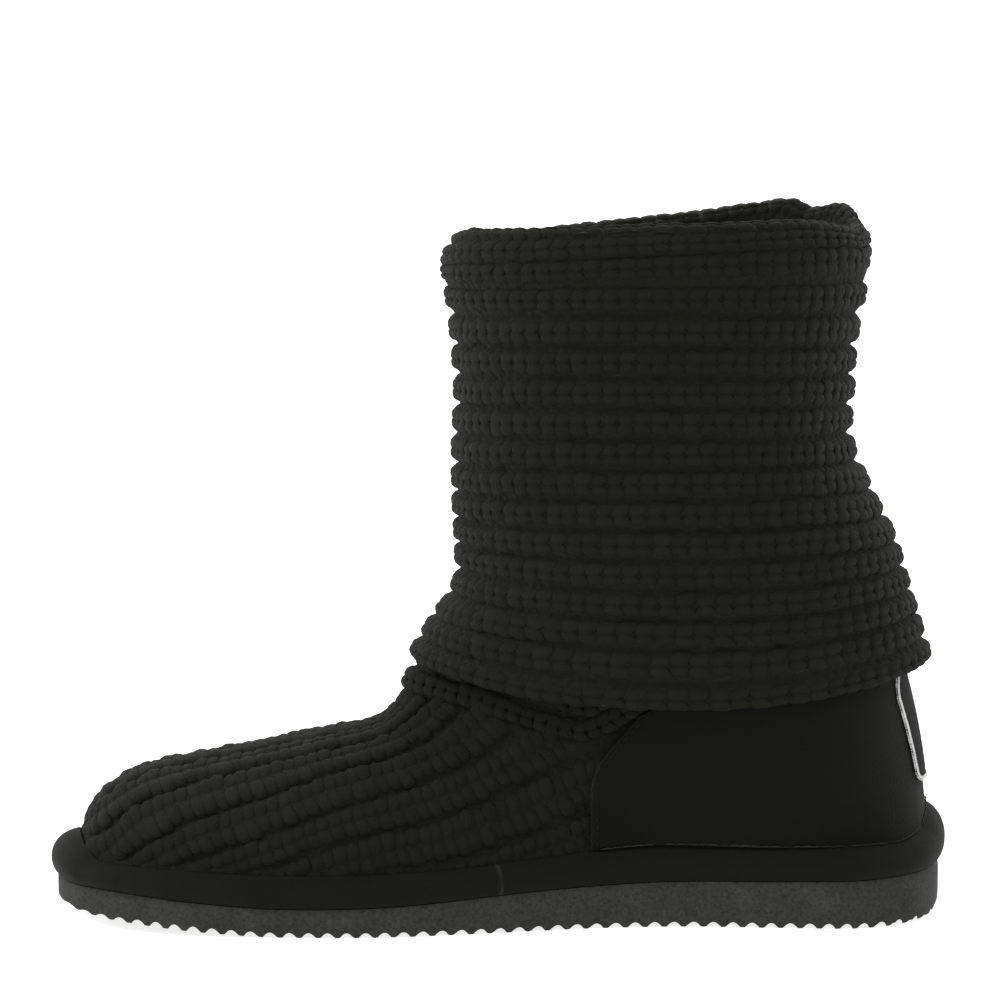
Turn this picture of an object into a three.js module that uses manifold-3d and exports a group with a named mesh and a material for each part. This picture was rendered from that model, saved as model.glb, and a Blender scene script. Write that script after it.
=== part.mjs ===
// A knitted pull-on boot for the right foot: a rippled wedge outsole, a padded suede rand, a knitted upper
// with a suede heel counter, and a ribbed knitted shaft whose outer half is turned down as a cuff.
// Millimetres, +Z up, the toe towards -X, the inner side of the foot towards -Y, the floor at Z = 0.
import * as THREE from "three";
import { mergeVertices } from "three/addons/utils/BufferGeometryUtils.js";
import Module from "manifold-3d";

const wasm = await Module();
wasm.setup();

// Driving dimensions
const LENGTH = 272; // rand, toe to heel
const BALL_WIDTH = 100; // rand, across the ball
const SEAT_GAP = 0.3; // between pieces that meet
const KNIT_WALL = 3; // knit of the upper and the shaft with its lining
const ANKLE_ROLL = 1.5; // how far the shaft stands proud of the upper at the ankle seam
const COUNTER_WALL = 1.6; // suede of the heel counter
const PATCH_WALL = 0.9; // sewn patch on the counter
const INSOLE_WALL = 5; // footbed
const TREAD_PITCH = 5.7; // one ripple of the tread
const TREAD_LAND = 1.6; // flat crest of a ripple
const TREAD_DEPTH = 1.1;
const CUFF_RIBS = 14; // ribs between the hem and the fold
const RIB_DEPTH = 1.6; // valley below the crest of a rib
const FOLD_HEIGHT = 9; // crest of the fold above its widest place
const FOLD_TURN = 0.9 * Math.PI; // how far the fold turns over, from the outside to the bore
const HEM_DROP = 8; // reach of the cuff's hollow below its hem
const SPAN = 140; // reach of a cutter across the boot

// Facets
const OUTLINE_SIDES = 46; // round the sole and the rand
const RING_SIDES = 26; // round the foot and the cuff
const FOOT_STEPS = 1.5; // rings for each row of the foot
const LEG_ROW = 12; // first row of the leg, which has one ring a row
const FOLD_STEPS = 5; // over the fold
const PROFILE_STEPS = 20; // along a side line

// Outline of the rand from above, from the toe tip along the inner side to the heel and back
const OUTLINE = [
  { x: -136, y: -7 },
  { x: -128, y: -30 },
  { x: -102, y: -44.5 },
  { x: -62, y: -49.5 },
  { x: -36, y: -49.5 },
  { x: -4, y: -44 },
  { x: 28, y: -37 },
  { x: 56, y: -34.5 },
  { x: 84, y: -36.5 },
  { x: 109, y: -36.5 },
  { x: 128, y: -25 },
  { x: 136, y: 0 },
  { x: 128, y: 26 },
  { x: 108, y: 37 },
  { x: 76, y: 39 },
  { x: 40, y: 41.5 },
  { x: 2, y: 46.5 },
  { x: -34, y: 50 },
  { x: -70, y: 47 },
  { x: -105, y: 35 },
  { x: -128, y: 15 },
];

// Side lines of the sole, heel to toe: underside, top of the outsole and top of the rand
const SIDE_LINES = [
  { x: -150, floor: 9.6, soleTop: 13.2, randTop: 32 },
  { x: -137, floor: 6.8, soleTop: 12.4, randTop: 26.6 },
  { x: -133, floor: 6, soleTop: 12.3, randTop: 22.6 },
  { x: -126, floor: 4.7, soleTop: 12.2, randTop: 19.3 },
  { x: -116, floor: 3.5, soleTop: 11.9, randTop: 18.7 },
  { x: -92, floor: 1.6, soleTop: 10.2, randTop: 18.4 },
  { x: -66, floor: 0, soleTop: 8.6, randTop: 17.9 },
  { x: -28, floor: 0, soleTop: 9.3, randTop: 18.4 },
  { x: 5, floor: 0, soleTop: 11.7, randTop: 20.3 },
  { x: 45, floor: 0, soleTop: 13.6, randTop: 24.4 },
  { x: 85, floor: 0, soleTop: 14.1, randTop: 24.2 },
  { x: 112, floor: 0, soleTop: 14.6, randTop: 23.9 },
  { x: 126, floor: 0.3, soleTop: 15.1, randTop: 24 },
  { x: 133, floor: 0.8, soleTop: 15.4, randTop: 27 },
  { x: 137, floor: 1.1, soleTop: 15.6, randTop: 36 },
  { x: 150, floor: 2.2, soleTop: 16.2, randTop: 48 },
];

// Edge of the outsole: height above the floor and distance inside the rand's outline
const SOLE_EDGE = [
  { z: -1, inset: 4.4 },
  { z: 1.4, inset: 2.8 },
  { z: 4, inset: 2 },
  { z: 20, inset: 2 },
];

// Padded section of the rand: share of its height and distance inside its outline
const RAND_SECTION = [
  { rise: -0.5, inset: 3.4 },
  { rise: 0, inset: 2.2 },
  { rise: 0.18, inset: 0.5 },
  { rise: 0.42, inset: 0 },
  { rise: 0.64, inset: 0.9 },
  { rise: 0.82, inset: 3 },
  { rise: 0.95, inset: 6.2 },
  { rise: 1, inset: 9.5 },
  { rise: 1, inset: 13 },
];

// Sections of the foot form from the toe over the instep and round the heel, then up the leg. A section is
// a plane through a top point and a bottom point. Its widest place is a share of the way up from the bottom,
// and the power says how square its lower half is.
const FOOT_SECTIONS = [
  { topX: -128.4, topZ: 21, bottomX: -128.4, bottomZ: 5, medial: 8, lateral: 5, wide: 0.5, square: 2.4 },
  { topX: -126.2, topZ: 30, bottomX: -126.6, bottomZ: 1, medial: 16, lateral: 11, wide: 0.5, square: 3 },
  { topX: -120, topZ: 37.6, bottomX: -120, bottomZ: 1, medial: 26, lateral: 20, wide: 0.45, square: 3.6 },
  { topX: -107.6, topZ: 44.2, bottomX: -106, bottomZ: 1, medial: 33.5, lateral: 28.5, wide: 0.4, square: 4 },
  { topX: -92, topZ: 47.6, bottomX: -90, bottomZ: 1, medial: 38.5, lateral: 34.5, wide: 0.37, square: 4 },
  { topX: -73, topZ: 51.2, bottomX: -68, bottomZ: 1, medial: 42, lateral: 40, wide: 0.35, square: 4 },
  { topX: -52, topZ: 55.4, bottomX: -38, bottomZ: 1, medial: 42.8, lateral: 43, wide: 0.34, square: 4 },
  { topX: -38, topZ: 58.4, bottomX: -3, bottomZ: 1, medial: 38.5, lateral: 41.8, wide: 0.35, square: 4 },
  { topX: -32, topZ: 63.6, bottomX: 40, bottomZ: 1, medial: 31.5, lateral: 38, wide: 0.36, square: 3.6 },
  { topX: -29.2, topZ: 68.6, bottomX: 84, bottomZ: 1, medial: 28.5, lateral: 34.5, wide: 0.4, square: 3 },
  { topX: -26, topZ: 74, bottomX: 117, bottomZ: 1, medial: 30, lateral: 33, wide: 0.44, square: 2.8 },
  { topX: -19, topZ: 80.6, bottomX: 128, bottomZ: 13, medial: 33, lateral: 34, wide: 0.46, square: 2.4 },
  { topX: -12.5, topZ: 91, bottomX: 127.6, bottomZ: 36, medial: 36, lateral: 36, wide: 0.48, square: 2.2 },
  { topX: -8.4, topZ: 106, bottomX: 123.4, bottomZ: 62, medial: 38.5, lateral: 38.5, wide: 0.5, square: 2.2 },
  { topX: -7.6, topZ: 128, bottomX: 114.5, bottomZ: 93, medial: 41.5, lateral: 41.5, wide: 0.5, square: 2.2 },
  { topX: -7.4, topZ: 152, bottomX: 102, bottomZ: 128, medial: 44.4, lateral: 44.4, wide: 0.5, square: 2.2 },
  { topX: -8, topZ: 172, bottomX: 100, bottomZ: 158, medial: 46, lateral: 46, wide: 0.5, square: 2.2 },
  { topX: -10.5, topZ: 190, bottomX: 102.6, bottomZ: 186, medial: 47.4, lateral: 47.4, wide: 0.5, square: 2.2 },
  { topX: -11.5, topZ: 206, bottomX: 104.6, bottomZ: 207, medial: 48, lateral: 48, wide: 0.5, square: 2.2 },
  { topX: -11.5, topZ: 232, bottomX: 104.6, bottomZ: 232, medial: 48, lateral: 48, wide: 0.5, square: 2.2 },
];

// Outside of the turned-down cuff from its hem up to the fold: its front and back, its height there and at
// the sides, how much higher its back is than its middle, and half its width
const CUFF_SECTIONS = [
  { frontX: -28.4, backX: 132, endZ: 78, sideZ: 66.8, tilt: -0.4, half: 46.5 },
  { frontX: -22.2, backX: 128.2, endZ: 89, sideZ: 83, tilt: 0.5, half: 47.4 },
  { frontX: -14.8, backX: 124.4, endZ: 101.3, sideZ: 98.5, tilt: 0.7, half: 48.6 },
  { frontX: -14.4, backX: 120.4, endZ: 114.5, sideZ: 114, tilt: 0.5, half: 49.8 },
  { frontX: -15, backX: 113.4, endZ: 128.4, sideZ: 129.6, tilt: 0.7, half: 51 },
  { frontX: -15, backX: 107.4, endZ: 143.4, sideZ: 145, tilt: 0.4, half: 52 },
  { frontX: -14.4, backX: 107.4, endZ: 158.8, sideZ: 160.6, tilt: 0.1, half: 52.8 },
  { frontX: -15.4, backX: 108.4, endZ: 174.5, sideZ: 176, tilt: 0, half: 53.4 },
  { frontX: -17.4, backX: 111.2, endZ: 190.5, sideZ: 191.6, tilt: 1, half: 54 },
  { frontX: -18.4, backX: 111.8, endZ: 200, sideZ: 200.4, tilt: 4.6, half: 54 },
];

// One rib of the cuff from its lower valley: share of the pitch and depth below the crest
const RIB_SHAPE = [
  { phase: 0, depth: RIB_DEPTH },
  { phase: 0.22, depth: 0 },
  { phase: 0.78, depth: 0 },
];

// Powers that say how square a section is: the crown of the foot and the tube of the cuff
const CROWN_POWER = 2.1;
const CUFF_POWER = 2.2;

// Seam between the upper and the shaft, seen from the side
const ANKLE_SEAM = [
  { x: -60, z: 70 },
  { x: -31, z: 67.5 },
  { x: -9, z: 64.5 },
  { x: 10, z: 58.8 },
  { x: 25, z: 56.2 },
  { x: 44, z: 65.5 },
  { x: 62, z: 75 },
  { x: 84, z: 79 },
  { x: 140, z: 80 },
];

// Front edge of the heel counter, seen from the side
const COUNTER_FRONT = [
  { x: 27, z: 20 },
  { x: 27, z: 47 },
  { x: 61, z: 87 },
];

// Patch on the back of the counter
const PATCH = { bottomZ: 40.6, topZ: 77.5, bottomHalf: 14, topHalf: 18, lowCorner: 4, highCorner: 8 };

/** One value of a smooth curve through four neighbours, t going from the second to the third. */
function catmullRom(t, before, start, end, after) {
  const slopeIn = (end - before) / 2;
  const slopeOut = (after - start) / 2;
  const cubic = (2 * start - 2 * end + slopeIn + slopeOut) * t ** 3;
  return cubic + (3 * end - 3 * start - 2 * slopeIn - slopeOut) * t ** 2 + slopeIn * t + start;
}

/** Smooth row of a table at position t, where whole numbers are the table's own rows. */
function rowAt(table, t) {
  const last = table.length - 1;
  const index = Math.min(Math.floor(t), last - 1);
  const near = [-1, 0, 1, 2].map((step) => table[THREE.MathUtils.clamp(index + step, 0, last)]);
  const names = Object.keys(table[0]);
  const smooth = (name) => catmullRom(t - index, ...near.map((row) => row[name]));
  return Object.fromEntries(names.map((name) => [name, smooth(name)]));
}

/** Value of one column at x, in a table whose rows rise in x. */
function valueAt(table, column, x) {
  const place = THREE.MathUtils.clamp(x, table[0].x, table.at(-1).x);
  const index = Math.min(table.findLastIndex((row) => row.x <= place), table.length - 2);
  const share = (place - table[index].x) / (table[index + 1].x - table[index].x);
  return rowAt(table, index + share)[column];
}

/** Solid of a closed geometry, turned right side out. */
function solidOf(geometry) {
  const bare = geometry.clone();
  bare.deleteAttribute("normal");
  bare.deleteAttribute("uv");
  const merged = mergeVertices(bare, 1e-4);
  const vertProperties = new Float32Array(merged.attributes.position.array);
  const triVerts = new Uint32Array(merged.index.array);
  const solid = new wasm.Manifold(new wasm.Mesh({ numProp: 3, vertProperties, triVerts }));
  if (solid.volume() > 0) {
    return solid;
  }
  return new wasm.Manifold(new wasm.Mesh({ numProp: 3, vertProperties, triVerts: triVerts.reverse() }));
}

/** Solid skinned over rings of points, closed by a fan at each end. */
function loft(rings) {
  const sides = rings[0].length;
  const points = rings.flat();
  const index = [];
  for (let ring = 0; ring + 1 < rings.length; ring += 1) {
    for (let side = 0; side < sides; side += 1) {
      const next = (side + 1) % sides;
      const [a, b] = [ring * sides + side, ring * sides + next];
      index.push(a, b, a + sides, b, b + sides, a + sides);
    }
  }
  for (const [ring, turn] of [[0, -1], [rings.length - 1, 1]]) {
    const centre = points.length;
    points.push(rings[ring].reduce((sum, point) => sum.add(point), new THREE.Vector3()).divideScalar(sides));
    for (let side = 0; side < sides; side += 1) {
      const edge = [ring * sides + side, ring * sides + ((side + 1) % sides)];
      index.push(centre, ...(turn > 0 ? edge : edge.reverse()));
    }
  }
  const geometry = new THREE.BufferGeometry().setFromPoints(points);
  geometry.setIndex(index);
  return solidOf(geometry);
}

/** Prism across the boot over an outline of { x, z } points. */
function acrossBoot(outline) {
  const shape = new THREE.Shape(outline.map((point) => new THREE.Vector2(point.x, point.z)));
  const geometry = new THREE.ExtrudeGeometry(shape, { depth: SPAN, bevelEnabled: false });
  geometry.rotateX(Math.PI / 2);
  geometry.translate(0, SPAN / 2, 0);
  return solidOf(geometry);
}

/** Outline of the rand, scaled to the driving length and width, moved inwards by a distance. */
function outlineInset(inset) {
  const corners = OUTLINE.map(({ x, y }) => new THREE.Vector3(x, y, 0));
  const curve = new THREE.CatmullRomCurve3(corners, true);
  const points = curve.getSpacedPoints(OUTLINE_SIDES).slice(0, OUTLINE_SIDES);
  const box = new THREE.Box3().setFromPoints(points);
  const middle = box.getCenter(new THREE.Vector3());
  const size = box.getSize(new THREE.Vector3());
  const scale = new THREE.Vector3(LENGTH / size.x, BALL_WIDTH / size.y, 1);
  const scaled = points.map((point) => point.sub(middle).multiply(scale));
  return scaled.map((point, index) => {
    const ahead = scaled[(index + 1) % OUTLINE_SIDES];
    const behind = scaled.at(index - 1);
    const along = ahead.clone().sub(behind).normalize();
    return new THREE.Vector3(point.x - along.y * inset, point.y + along.x * inset, 0);
  });
}

/** Points of a side line, raised by a distance, from ahead of the toe to behind the heel. */
function sideLine(table, column, raise) {
  const [start, end] = [table[0].x, table.at(-1).x];
  const point = (x) => ({ x, z: valueAt(table, column, x) + raise });
  const steps = Array.from({ length: PROFILE_STEPS + 1 }, (_, index) => index / PROFILE_STEPS);
  const places = steps.map((share) => THREE.MathUtils.lerp(start, end, share));
  return [-LENGTH, ...places, LENGTH].map(point);
}

/** Everything between two lines from the toe to the heel. */
function between(lower, upper) {
  return acrossBoot([...lower, ...upper.toReversed()]);
}

/** Straight line from ahead of the toe to behind the heel, through a height at x = 0 with a slope. */
function straightLine(z, slope = 0) {
  return [-LENGTH, LENGTH].map((x) => ({ x, z: z + slope * x }));
}

/** Rippled underside: flat crests on the floor line with rounded grooves between them. */
function treadLine() {
  const ripples = Math.floor(LENGTH / TREAD_PITCH) + 2;
  const start = (-ripples * TREAD_PITCH) / 2;
  const groove = TREAD_PITCH - TREAD_LAND;
  const shape = [
    { along: 0, depth: 0 },
    { along: TREAD_LAND, depth: 0 },
    { along: TREAD_LAND + groove / 2, depth: TREAD_DEPTH },
  ];
  const ripple = (index) => shape.map(({ along, depth }) => {
    const x = start + index * TREAD_PITCH + along;
    return { x, z: Math.max(valueAt(SIDE_LINES, "floor", x), 0) + depth };
  });
  return Array.from({ length: ripples }, (_, index) => ripple(index)).flat();
}

/** Padded form of the rand, filled, grown by a distance. */
function randForm(grow) {
  const rings = RAND_SECTION.map(({ rise, inset }) => outlineInset(inset - grow).map((point) => {
    const low = valueAt(SIDE_LINES, "soleTop", point.x) + SEAT_GAP;
    const high = valueAt(SIDE_LINES, "randTop", point.x) + grow;
    return point.setZ(THREE.MathUtils.lerp(low, high, rise));
  }));
  return loft(rings);
}

/** Point on a unit superellipse. */
function roundSquare(angle, power) {
  const shape = (value) => Math.sign(value) * Math.abs(value) ** (2 / power);
  return { up: shape(Math.cos(angle)), across: shape(Math.sin(angle)) };
}

/** Points round one section of the foot form, starting at its top. */
function footRing(row) {
  return Array.from({ length: RING_SIDES }, (_, index) => {
    const angle = (2 * Math.PI * index) / RING_SIDES;
    const { up, across } = roundSquare(angle, Math.cos(angle) > 0 ? CROWN_POWER : row.square);
    const rise = row.wide + up * (up > 0 ? 1 - row.wide : row.wide);
    return new THREE.Vector3(
      THREE.MathUtils.lerp(row.bottomX, row.topX, rise),
      across * (across > 0 ? row.lateral : row.medial),
      THREE.MathUtils.lerp(row.bottomZ, row.topZ, rise),
    );
  });
}

/** Rings moved along their surface normals by a distance, outwards where it is positive. */
function moveOut(rings, distance) {
  const last = rings.length - 1;
  return rings.map((ring, row) => ring.map((point, side) => {
    const ahead = rings[Math.min(row + 1, last)][side];
    const behind = rings[Math.max(row - 1, 0)][side];
    const left = ring[(side + 1) % ring.length];
    const right = ring.at(side - 1);
    const normal = ahead.clone().sub(behind).cross(left.clone().sub(right)).normalize();
    return point.clone().addScaledVector(normal, distance);
  }));
}

/** Foot form grown by a distance, filled, from the toe to above the fold. */
function footForm(grow) {
  const places = Array.from({ length: LEG_ROW * FOOT_STEPS }, (_, step) => step / FOOT_STEPS);
  const sections = [...places.map((place) => rowAt(FOOT_SECTIONS, place)), ...FOOT_SECTIONS.slice(LEG_ROW)];
  return loft(moveOut(sections.map(footRing), grow));
}

/** Points round the cuff at one row, moved inwards by a distance and raised. */
function cuffRing(row, inset, raise) {
  const [middle, reach] = [(row.backX + row.frontX) / 2, (row.backX - row.frontX) / 2];
  return Array.from({ length: RING_SIDES }, (_, index) => {
    const angle = (2 * Math.PI * index) / RING_SIDES;
    const { up, across } = roundSquare(angle, CUFF_POWER);
    const sag = THREE.MathUtils.lerp(row.endZ, row.sideZ, Math.sin(angle) ** 2);
    const z = sag - row.tilt * up + raise;
    return new THREE.Vector3(middle - up * (reach - inset), across * (row.half - inset), z);
  });
}

/** Filled outside of the cuff: ribs from the hem up, then the rounded fold. */
function cuffForm() {
  const rows = CUFF_SECTIONS.length - 2;
  const ribs = [];
  for (let rib = 0; rib < CUFF_RIBS; rib += 1) {
    for (const { phase, depth } of RIB_SHAPE) {
      const row = rowAt(CUFF_SECTIONS, ((rib + phase) / CUFF_RIBS) * rows);
      ribs.push(cuffRing(row, depth, 0));
    }
  }
  const top = CUFF_SECTIONS.at(-1);
  const foldHalf = (RIB_DEPTH + 2 * KNIT_WALL + ANKLE_ROLL) / 2;
  const fold = Array.from({ length: FOLD_STEPS + 1 }, (_, index) => {
    const angle = (FOLD_TURN * index) / FOLD_STEPS;
    return cuffRing(top, foldHalf * (1 - Math.cos(angle)), FOLD_HEIGHT * Math.sin(angle));
  });
  return loft([...ribs, cuffRing(CUFF_SECTIONS[rows], RIB_DEPTH, 0), ...fold]);
}

/** Filled inside of the hanging cuff, from below the hem to the underside of the fold. */
function cuffHollow() {
  const wall = RIB_DEPTH + KNIT_WALL;
  const rings = CUFF_SECTIONS.map((row) => cuffRing(row, wall, 0));
  const below = rings[0].map((point) => point.clone().setZ(point.z - HEM_DROP));
  return loft([below, ...rings]);
}

/** Line inside the fold, part of the way up to its crest, that follows its tilt. */
function foldLine() {
  const { frontX, backX, endZ, tilt } = CUFF_SECTIONS.at(-1);
  const slope = (2 * tilt) / (backX - frontX);
  return straightLine(endZ + FOLD_HEIGHT / 3 - (slope * (backX + frontX)) / 2, slope);
}

/** Rounded patch outline across the back of the heel, as a prism along the boot. */
function patchForm() {
  const { bottomZ, topZ, bottomHalf, topHalf, lowCorner, highCorner } = PATCH;
  const shape = new THREE.Shape();
  shape.moveTo(-bottomHalf + lowCorner, bottomZ);
  shape.lineTo(bottomHalf - lowCorner, bottomZ);
  shape.quadraticCurveTo(bottomHalf, bottomZ, bottomHalf, bottomZ + lowCorner);
  shape.lineTo(topHalf, topZ - highCorner);
  shape.quadraticCurveTo(topHalf, topZ, topHalf - highCorner, topZ);
  shape.lineTo(-topHalf + highCorner, topZ);
  shape.quadraticCurveTo(-topHalf, topZ, -topHalf, topZ - highCorner);
  shape.lineTo(-bottomHalf, bottomZ + lowCorner);
  shape.quadraticCurveTo(-bottomHalf, bottomZ, -bottomHalf + lowCorner, bottomZ);
  const geometry = new THREE.ExtrudeGeometry(shape, { depth: SPAN, bevelEnabled: false, curveSegments: 3 });
  geometry.rotateX(Math.PI / 2);
  geometry.rotateZ(Math.PI / 2);
  geometry.translate(LENGTH / 4, 0, 0);
  return solidOf(geometry);
}

/** Named mesh of a solid in its material. */
function meshOf(name, solid, { color, roughness }) {
  const { vertProperties, triVerts } = solid.getMesh();
  const geometry = new THREE.BufferGeometry();
  geometry.setAttribute("position", new THREE.BufferAttribute(vertProperties, 3));
  geometry.setIndex(new THREE.BufferAttribute(triVerts, 1));
  geometry.computeVertexNormals();
  const mesh = new THREE.Mesh(geometry, new THREE.MeshStandardMaterial({ color, roughness, metalness: 0 }));
  mesh.name = name;
  return mesh;
}

// Finishes
const KNIT = { color: 0x1c1c1b, roughness: 0.95 };
const SUEDE = { color: 0x191918, roughness: 0.9 };
const FOAM_RUBBER = { color: 0x363738, roughness: 0.8 };
const FELT = { color: 0x26262a, roughness: 1 };

// Forms and lines that several pieces share
const footInside = footForm(-KNIT_WALL);
const [deep, high] = [straightLine(-SPAN), straightLine(2 * SPAN)];
const soleTop = (raise) => sideLine(SIDE_LINES, "soleTop", raise);
const seam = (raise) => sideLine(ANKLE_SEAM, "z", raise);

// Outsole, with the ripples cut into its underside
const soleBlock = loft(SOLE_EDGE.map(({ z, inset }) => outlineInset(inset).map((point) => point.setZ(z))));
const outsole = soleBlock.intersect(between(treadLine(), soleTop(0)));

// Rand, on the outsole and round the upper
const aboveSole = between(soleTop(SEAT_GAP), high);
const rand = randForm(0).intersect(aboveSole).subtract(footForm(SEAT_GAP));

// Insole, inside the upper
const footbed = between(soleTop(SEAT_GAP), soleTop(SEAT_GAP + INSOLE_WALL));
const insole = footForm(-KNIT_WALL - SEAT_GAP).intersect(footbed);

// Upper, from the outsole to the ankle seam
const belowSeam = between(deep, seam(-SEAT_GAP));
const upper = footForm(0).subtract(footInside).intersect(aboveSole).intersect(belowSeam);

// Shaft: the tube above the ankle seam, the fold and the cuff that hangs from it
const aboveSeam = between(seam(0), high);
const belowFold = between(deep, foldLine());
const tube = footForm(ANKLE_ROLL).intersect(aboveSeam).intersect(belowFold);
const shaft = cuffForm().subtract(cuffHollow()).add(tube).subtract(footInside);

// Heel counter, over the upper
const counterSide = acrossBoot([
  ...COUNTER_FRONT,
  { x: LENGTH, z: COUNTER_FRONT.at(-1).z },
  { x: LENGTH, z: COUNTER_FRONT[0].z },
]);
const counterOut = SEAT_GAP + COUNTER_WALL;
const counterShell = footForm(counterOut).subtract(footForm(SEAT_GAP)).intersect(counterSide);
const heelCounter = counterShell.intersect(belowSeam).subtract(randForm(SEAT_GAP));

// Patch, over the counter
const patchIn = counterOut + SEAT_GAP;
const heelPatch = footForm(patchIn + PATCH_WALL).subtract(footForm(patchIn)).intersect(patchForm());

const boot = new THREE.Group();
boot.add(
  meshOf("outsole", outsole, FOAM_RUBBER),
  meshOf("rand", rand, SUEDE),
  meshOf("insole", insole, FELT),
  meshOf("upper", upper, KNIT),
  meshOf("shaft", shaft, KNIT),
  meshOf("heel_counter", heelCounter, SUEDE),
  meshOf("heel_patch", heelPatch, SUEDE),
);

export default boot;
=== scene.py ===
"""Sweater boot: a ribbed knit boot with a turned-down cuff, a suede rand and a wedge sole.

The forms are tables of sizes in millimetres, in the part's own frame: toe at -X, heel at +X, the inner
side of the foot at -Y and the floor at Z 0. Each sub-assembly is a class that builds its pieces from the
forms and dresses them with its finish.
"""
import logging
import math
from abc import ABC, abstractmethod
from dataclasses import dataclass, field, replace
from enum import Enum
from typing import Any, ClassVar

import bmesh
import bpy
import numpy as np
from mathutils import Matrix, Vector
from mathutils.bvhtree import BVHTree


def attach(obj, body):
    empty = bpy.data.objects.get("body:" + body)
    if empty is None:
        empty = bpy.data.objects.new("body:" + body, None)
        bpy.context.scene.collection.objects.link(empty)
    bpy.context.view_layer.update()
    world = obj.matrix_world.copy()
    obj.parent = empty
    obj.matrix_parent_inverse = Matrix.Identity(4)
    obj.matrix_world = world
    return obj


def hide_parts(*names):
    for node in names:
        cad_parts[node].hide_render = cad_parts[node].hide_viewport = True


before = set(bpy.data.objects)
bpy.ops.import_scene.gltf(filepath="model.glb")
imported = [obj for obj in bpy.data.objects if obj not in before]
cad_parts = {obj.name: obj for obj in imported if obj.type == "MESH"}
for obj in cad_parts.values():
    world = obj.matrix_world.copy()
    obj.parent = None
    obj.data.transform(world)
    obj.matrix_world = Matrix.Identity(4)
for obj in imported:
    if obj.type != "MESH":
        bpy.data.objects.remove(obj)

LOG = logging.getLogger("boot")
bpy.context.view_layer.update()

MM = 0.001
LENGTH = 272.0
BALL_WIDTH = 100.0
SEAT_GAP = 0.3
CROWN_POWER = 2.1
CUFF_POWER = 2.2
CUFF_RIBS = 14
RIB_ROWS = 8.0
FOLD_ROW = 9.0
FOLD_HALF = 4.55
FOLD_HEIGHT = 9.0
FOLD_TURN = 0.9 * math.pi
STITCH = 4.6
RIB = 9.0
RAND_REACH = 8.5
NUDGE = 0.02

Array = np.ndarray
Colour = tuple[float, float, float, float]
Inputs = dict[str | int, Any]
Material = bpy.types.Material
Piece = bpy.types.Object
Settings = dict[str, Any]
Socket = bpy.types.NodeSocket
Triple = tuple[float, float, float]


def grey(level: float, warmth: float = 0.0) -> Colour:
    """A linear grey with less blue in it where warmth is above zero."""
    return (level, level, level * (1 - warmth), 1.0)


def lerp(start: Any, end: Any, share: Any) -> Any:
    """The value a share of the way from start to end."""
    return start + (end - start) * share


def unit(vectors: Array) -> Array:
    """The vectors at length one."""
    return vectors / np.maximum(np.linalg.norm(vectors, axis=-1, keepdims=True), 1e-9)


def signed_power(values: Array, power: Any) -> Array:
    """The values' sizes raised to a power, with their signs kept."""
    return np.sign(values) * np.abs(values) ** power


def dent(distance: Any, width: float) -> Any:
    """A soft bell of height one round distance zero."""
    return np.exp(-((distance / width) ** 2))


def groove(phase: Any, width: float = 0.17) -> Any:
    """The groove between ribs, from 0 to 1, at a phase counted in ribs."""
    return dent(phase - np.round(phase), width)


def rib_sink(phase: Any, ground: float = 1.05, deep: float = 1.6) -> Any:
    """How deep the ground lies under a rib and its groove, in millimetres, at a phase counted in ribs."""
    return ground + deep * groove(phase)


def half_turn(angle: Array) -> Array:
    """The angles, brought to within half a turn of zero."""
    return np.angle(np.exp(1j * angle))


def closed(ring: Array) -> Array:
    """A ring of rows with its first row repeated at its end."""
    return np.concatenate([ring, ring[:1]])


def lengths(points: Array, axis: int = 0) -> Array:
    """Lengths from the first point of a line to each one, the lines running along an axis."""
    steps = np.linalg.norm(np.diff(points, axis=axis), axis=-1)
    return np.insert(np.cumsum(steps, axis=axis), 0, 0, axis=axis)


def read(at: Array, knots: Array, rows: Array) -> Array:
    """Rows of numbers, one for each knot, read between the knots."""
    return np.stack([np.interp(at, knots, column) for column in rows.T], axis=-1)


def even_ring(ring: Array, count: int) -> Array:
    """Evenly spaced points round a closed ring of points.

    Args:
        ring: Points of the ring, the first one not repeated.
        count: How many points.

    Returns:
        The points.
    """
    line = closed(ring)
    girth = lengths(line)
    return read(np.arange(count) / count * girth[-1], girth, line)


@dataclass(frozen=True)
class Table:
    """Rows of named sizes, read as smooth curves.

    Args:
        columns: The name of each column.
        rows: The rows, in order.
    """

    columns: tuple[str, ...]
    rows: tuple[tuple[float, ...], ...]

    def at(self, place: Array) -> dict[str, Array]:
        """Reads every column between rows.

        Args:
            place: Places counted in rows, whole numbers being the rows themselves.

        Returns:
            One array for each column.
        """
        rows = np.array(self.rows)
        last = len(rows) - 1
        place = np.clip(np.asarray(place, float), 0, last)
        index = np.minimum(place.astype(int), last - 1)
        share = (place - index)[..., None]
        before, start, end, after = (rows[np.clip(index + step, 0, last)] for step in (-1, 0, 1, 2))
        slope_in, slope_out = (end - before) / 2, (after - start) / 2
        square = 3 * (end - start) - 2 * slope_in - slope_out
        cube = 2 * (start - end) + slope_in + slope_out
        curve = start + share * (slope_in + share * (square + share * cube))
        return dict(zip(self.columns, np.moveaxis(curve, -1, 0)))

    def along(self, column: str, x: Array) -> Array:
        """One column's smooth values at sizes x of the first column."""
        first = np.array([row[0] for row in self.rows])
        return self.at(np.interp(x, first, np.arange(len(first))))[column]


OUTLINE = (
    (-136, -7), (-128, -30), (-102, -44.5), (-62, -49.5), (-36, -49.5), (-4, -44), (28, -37),
    (56, -34.5), (84, -36.5), (109, -36.5), (128, -25), (136, 0), (128, 26), (108, 37),
    (76, 39), (40, 41.5), (2, 46.5), (-34, 50), (-70, 47), (-105, 35), (-128, 15),
)

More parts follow.
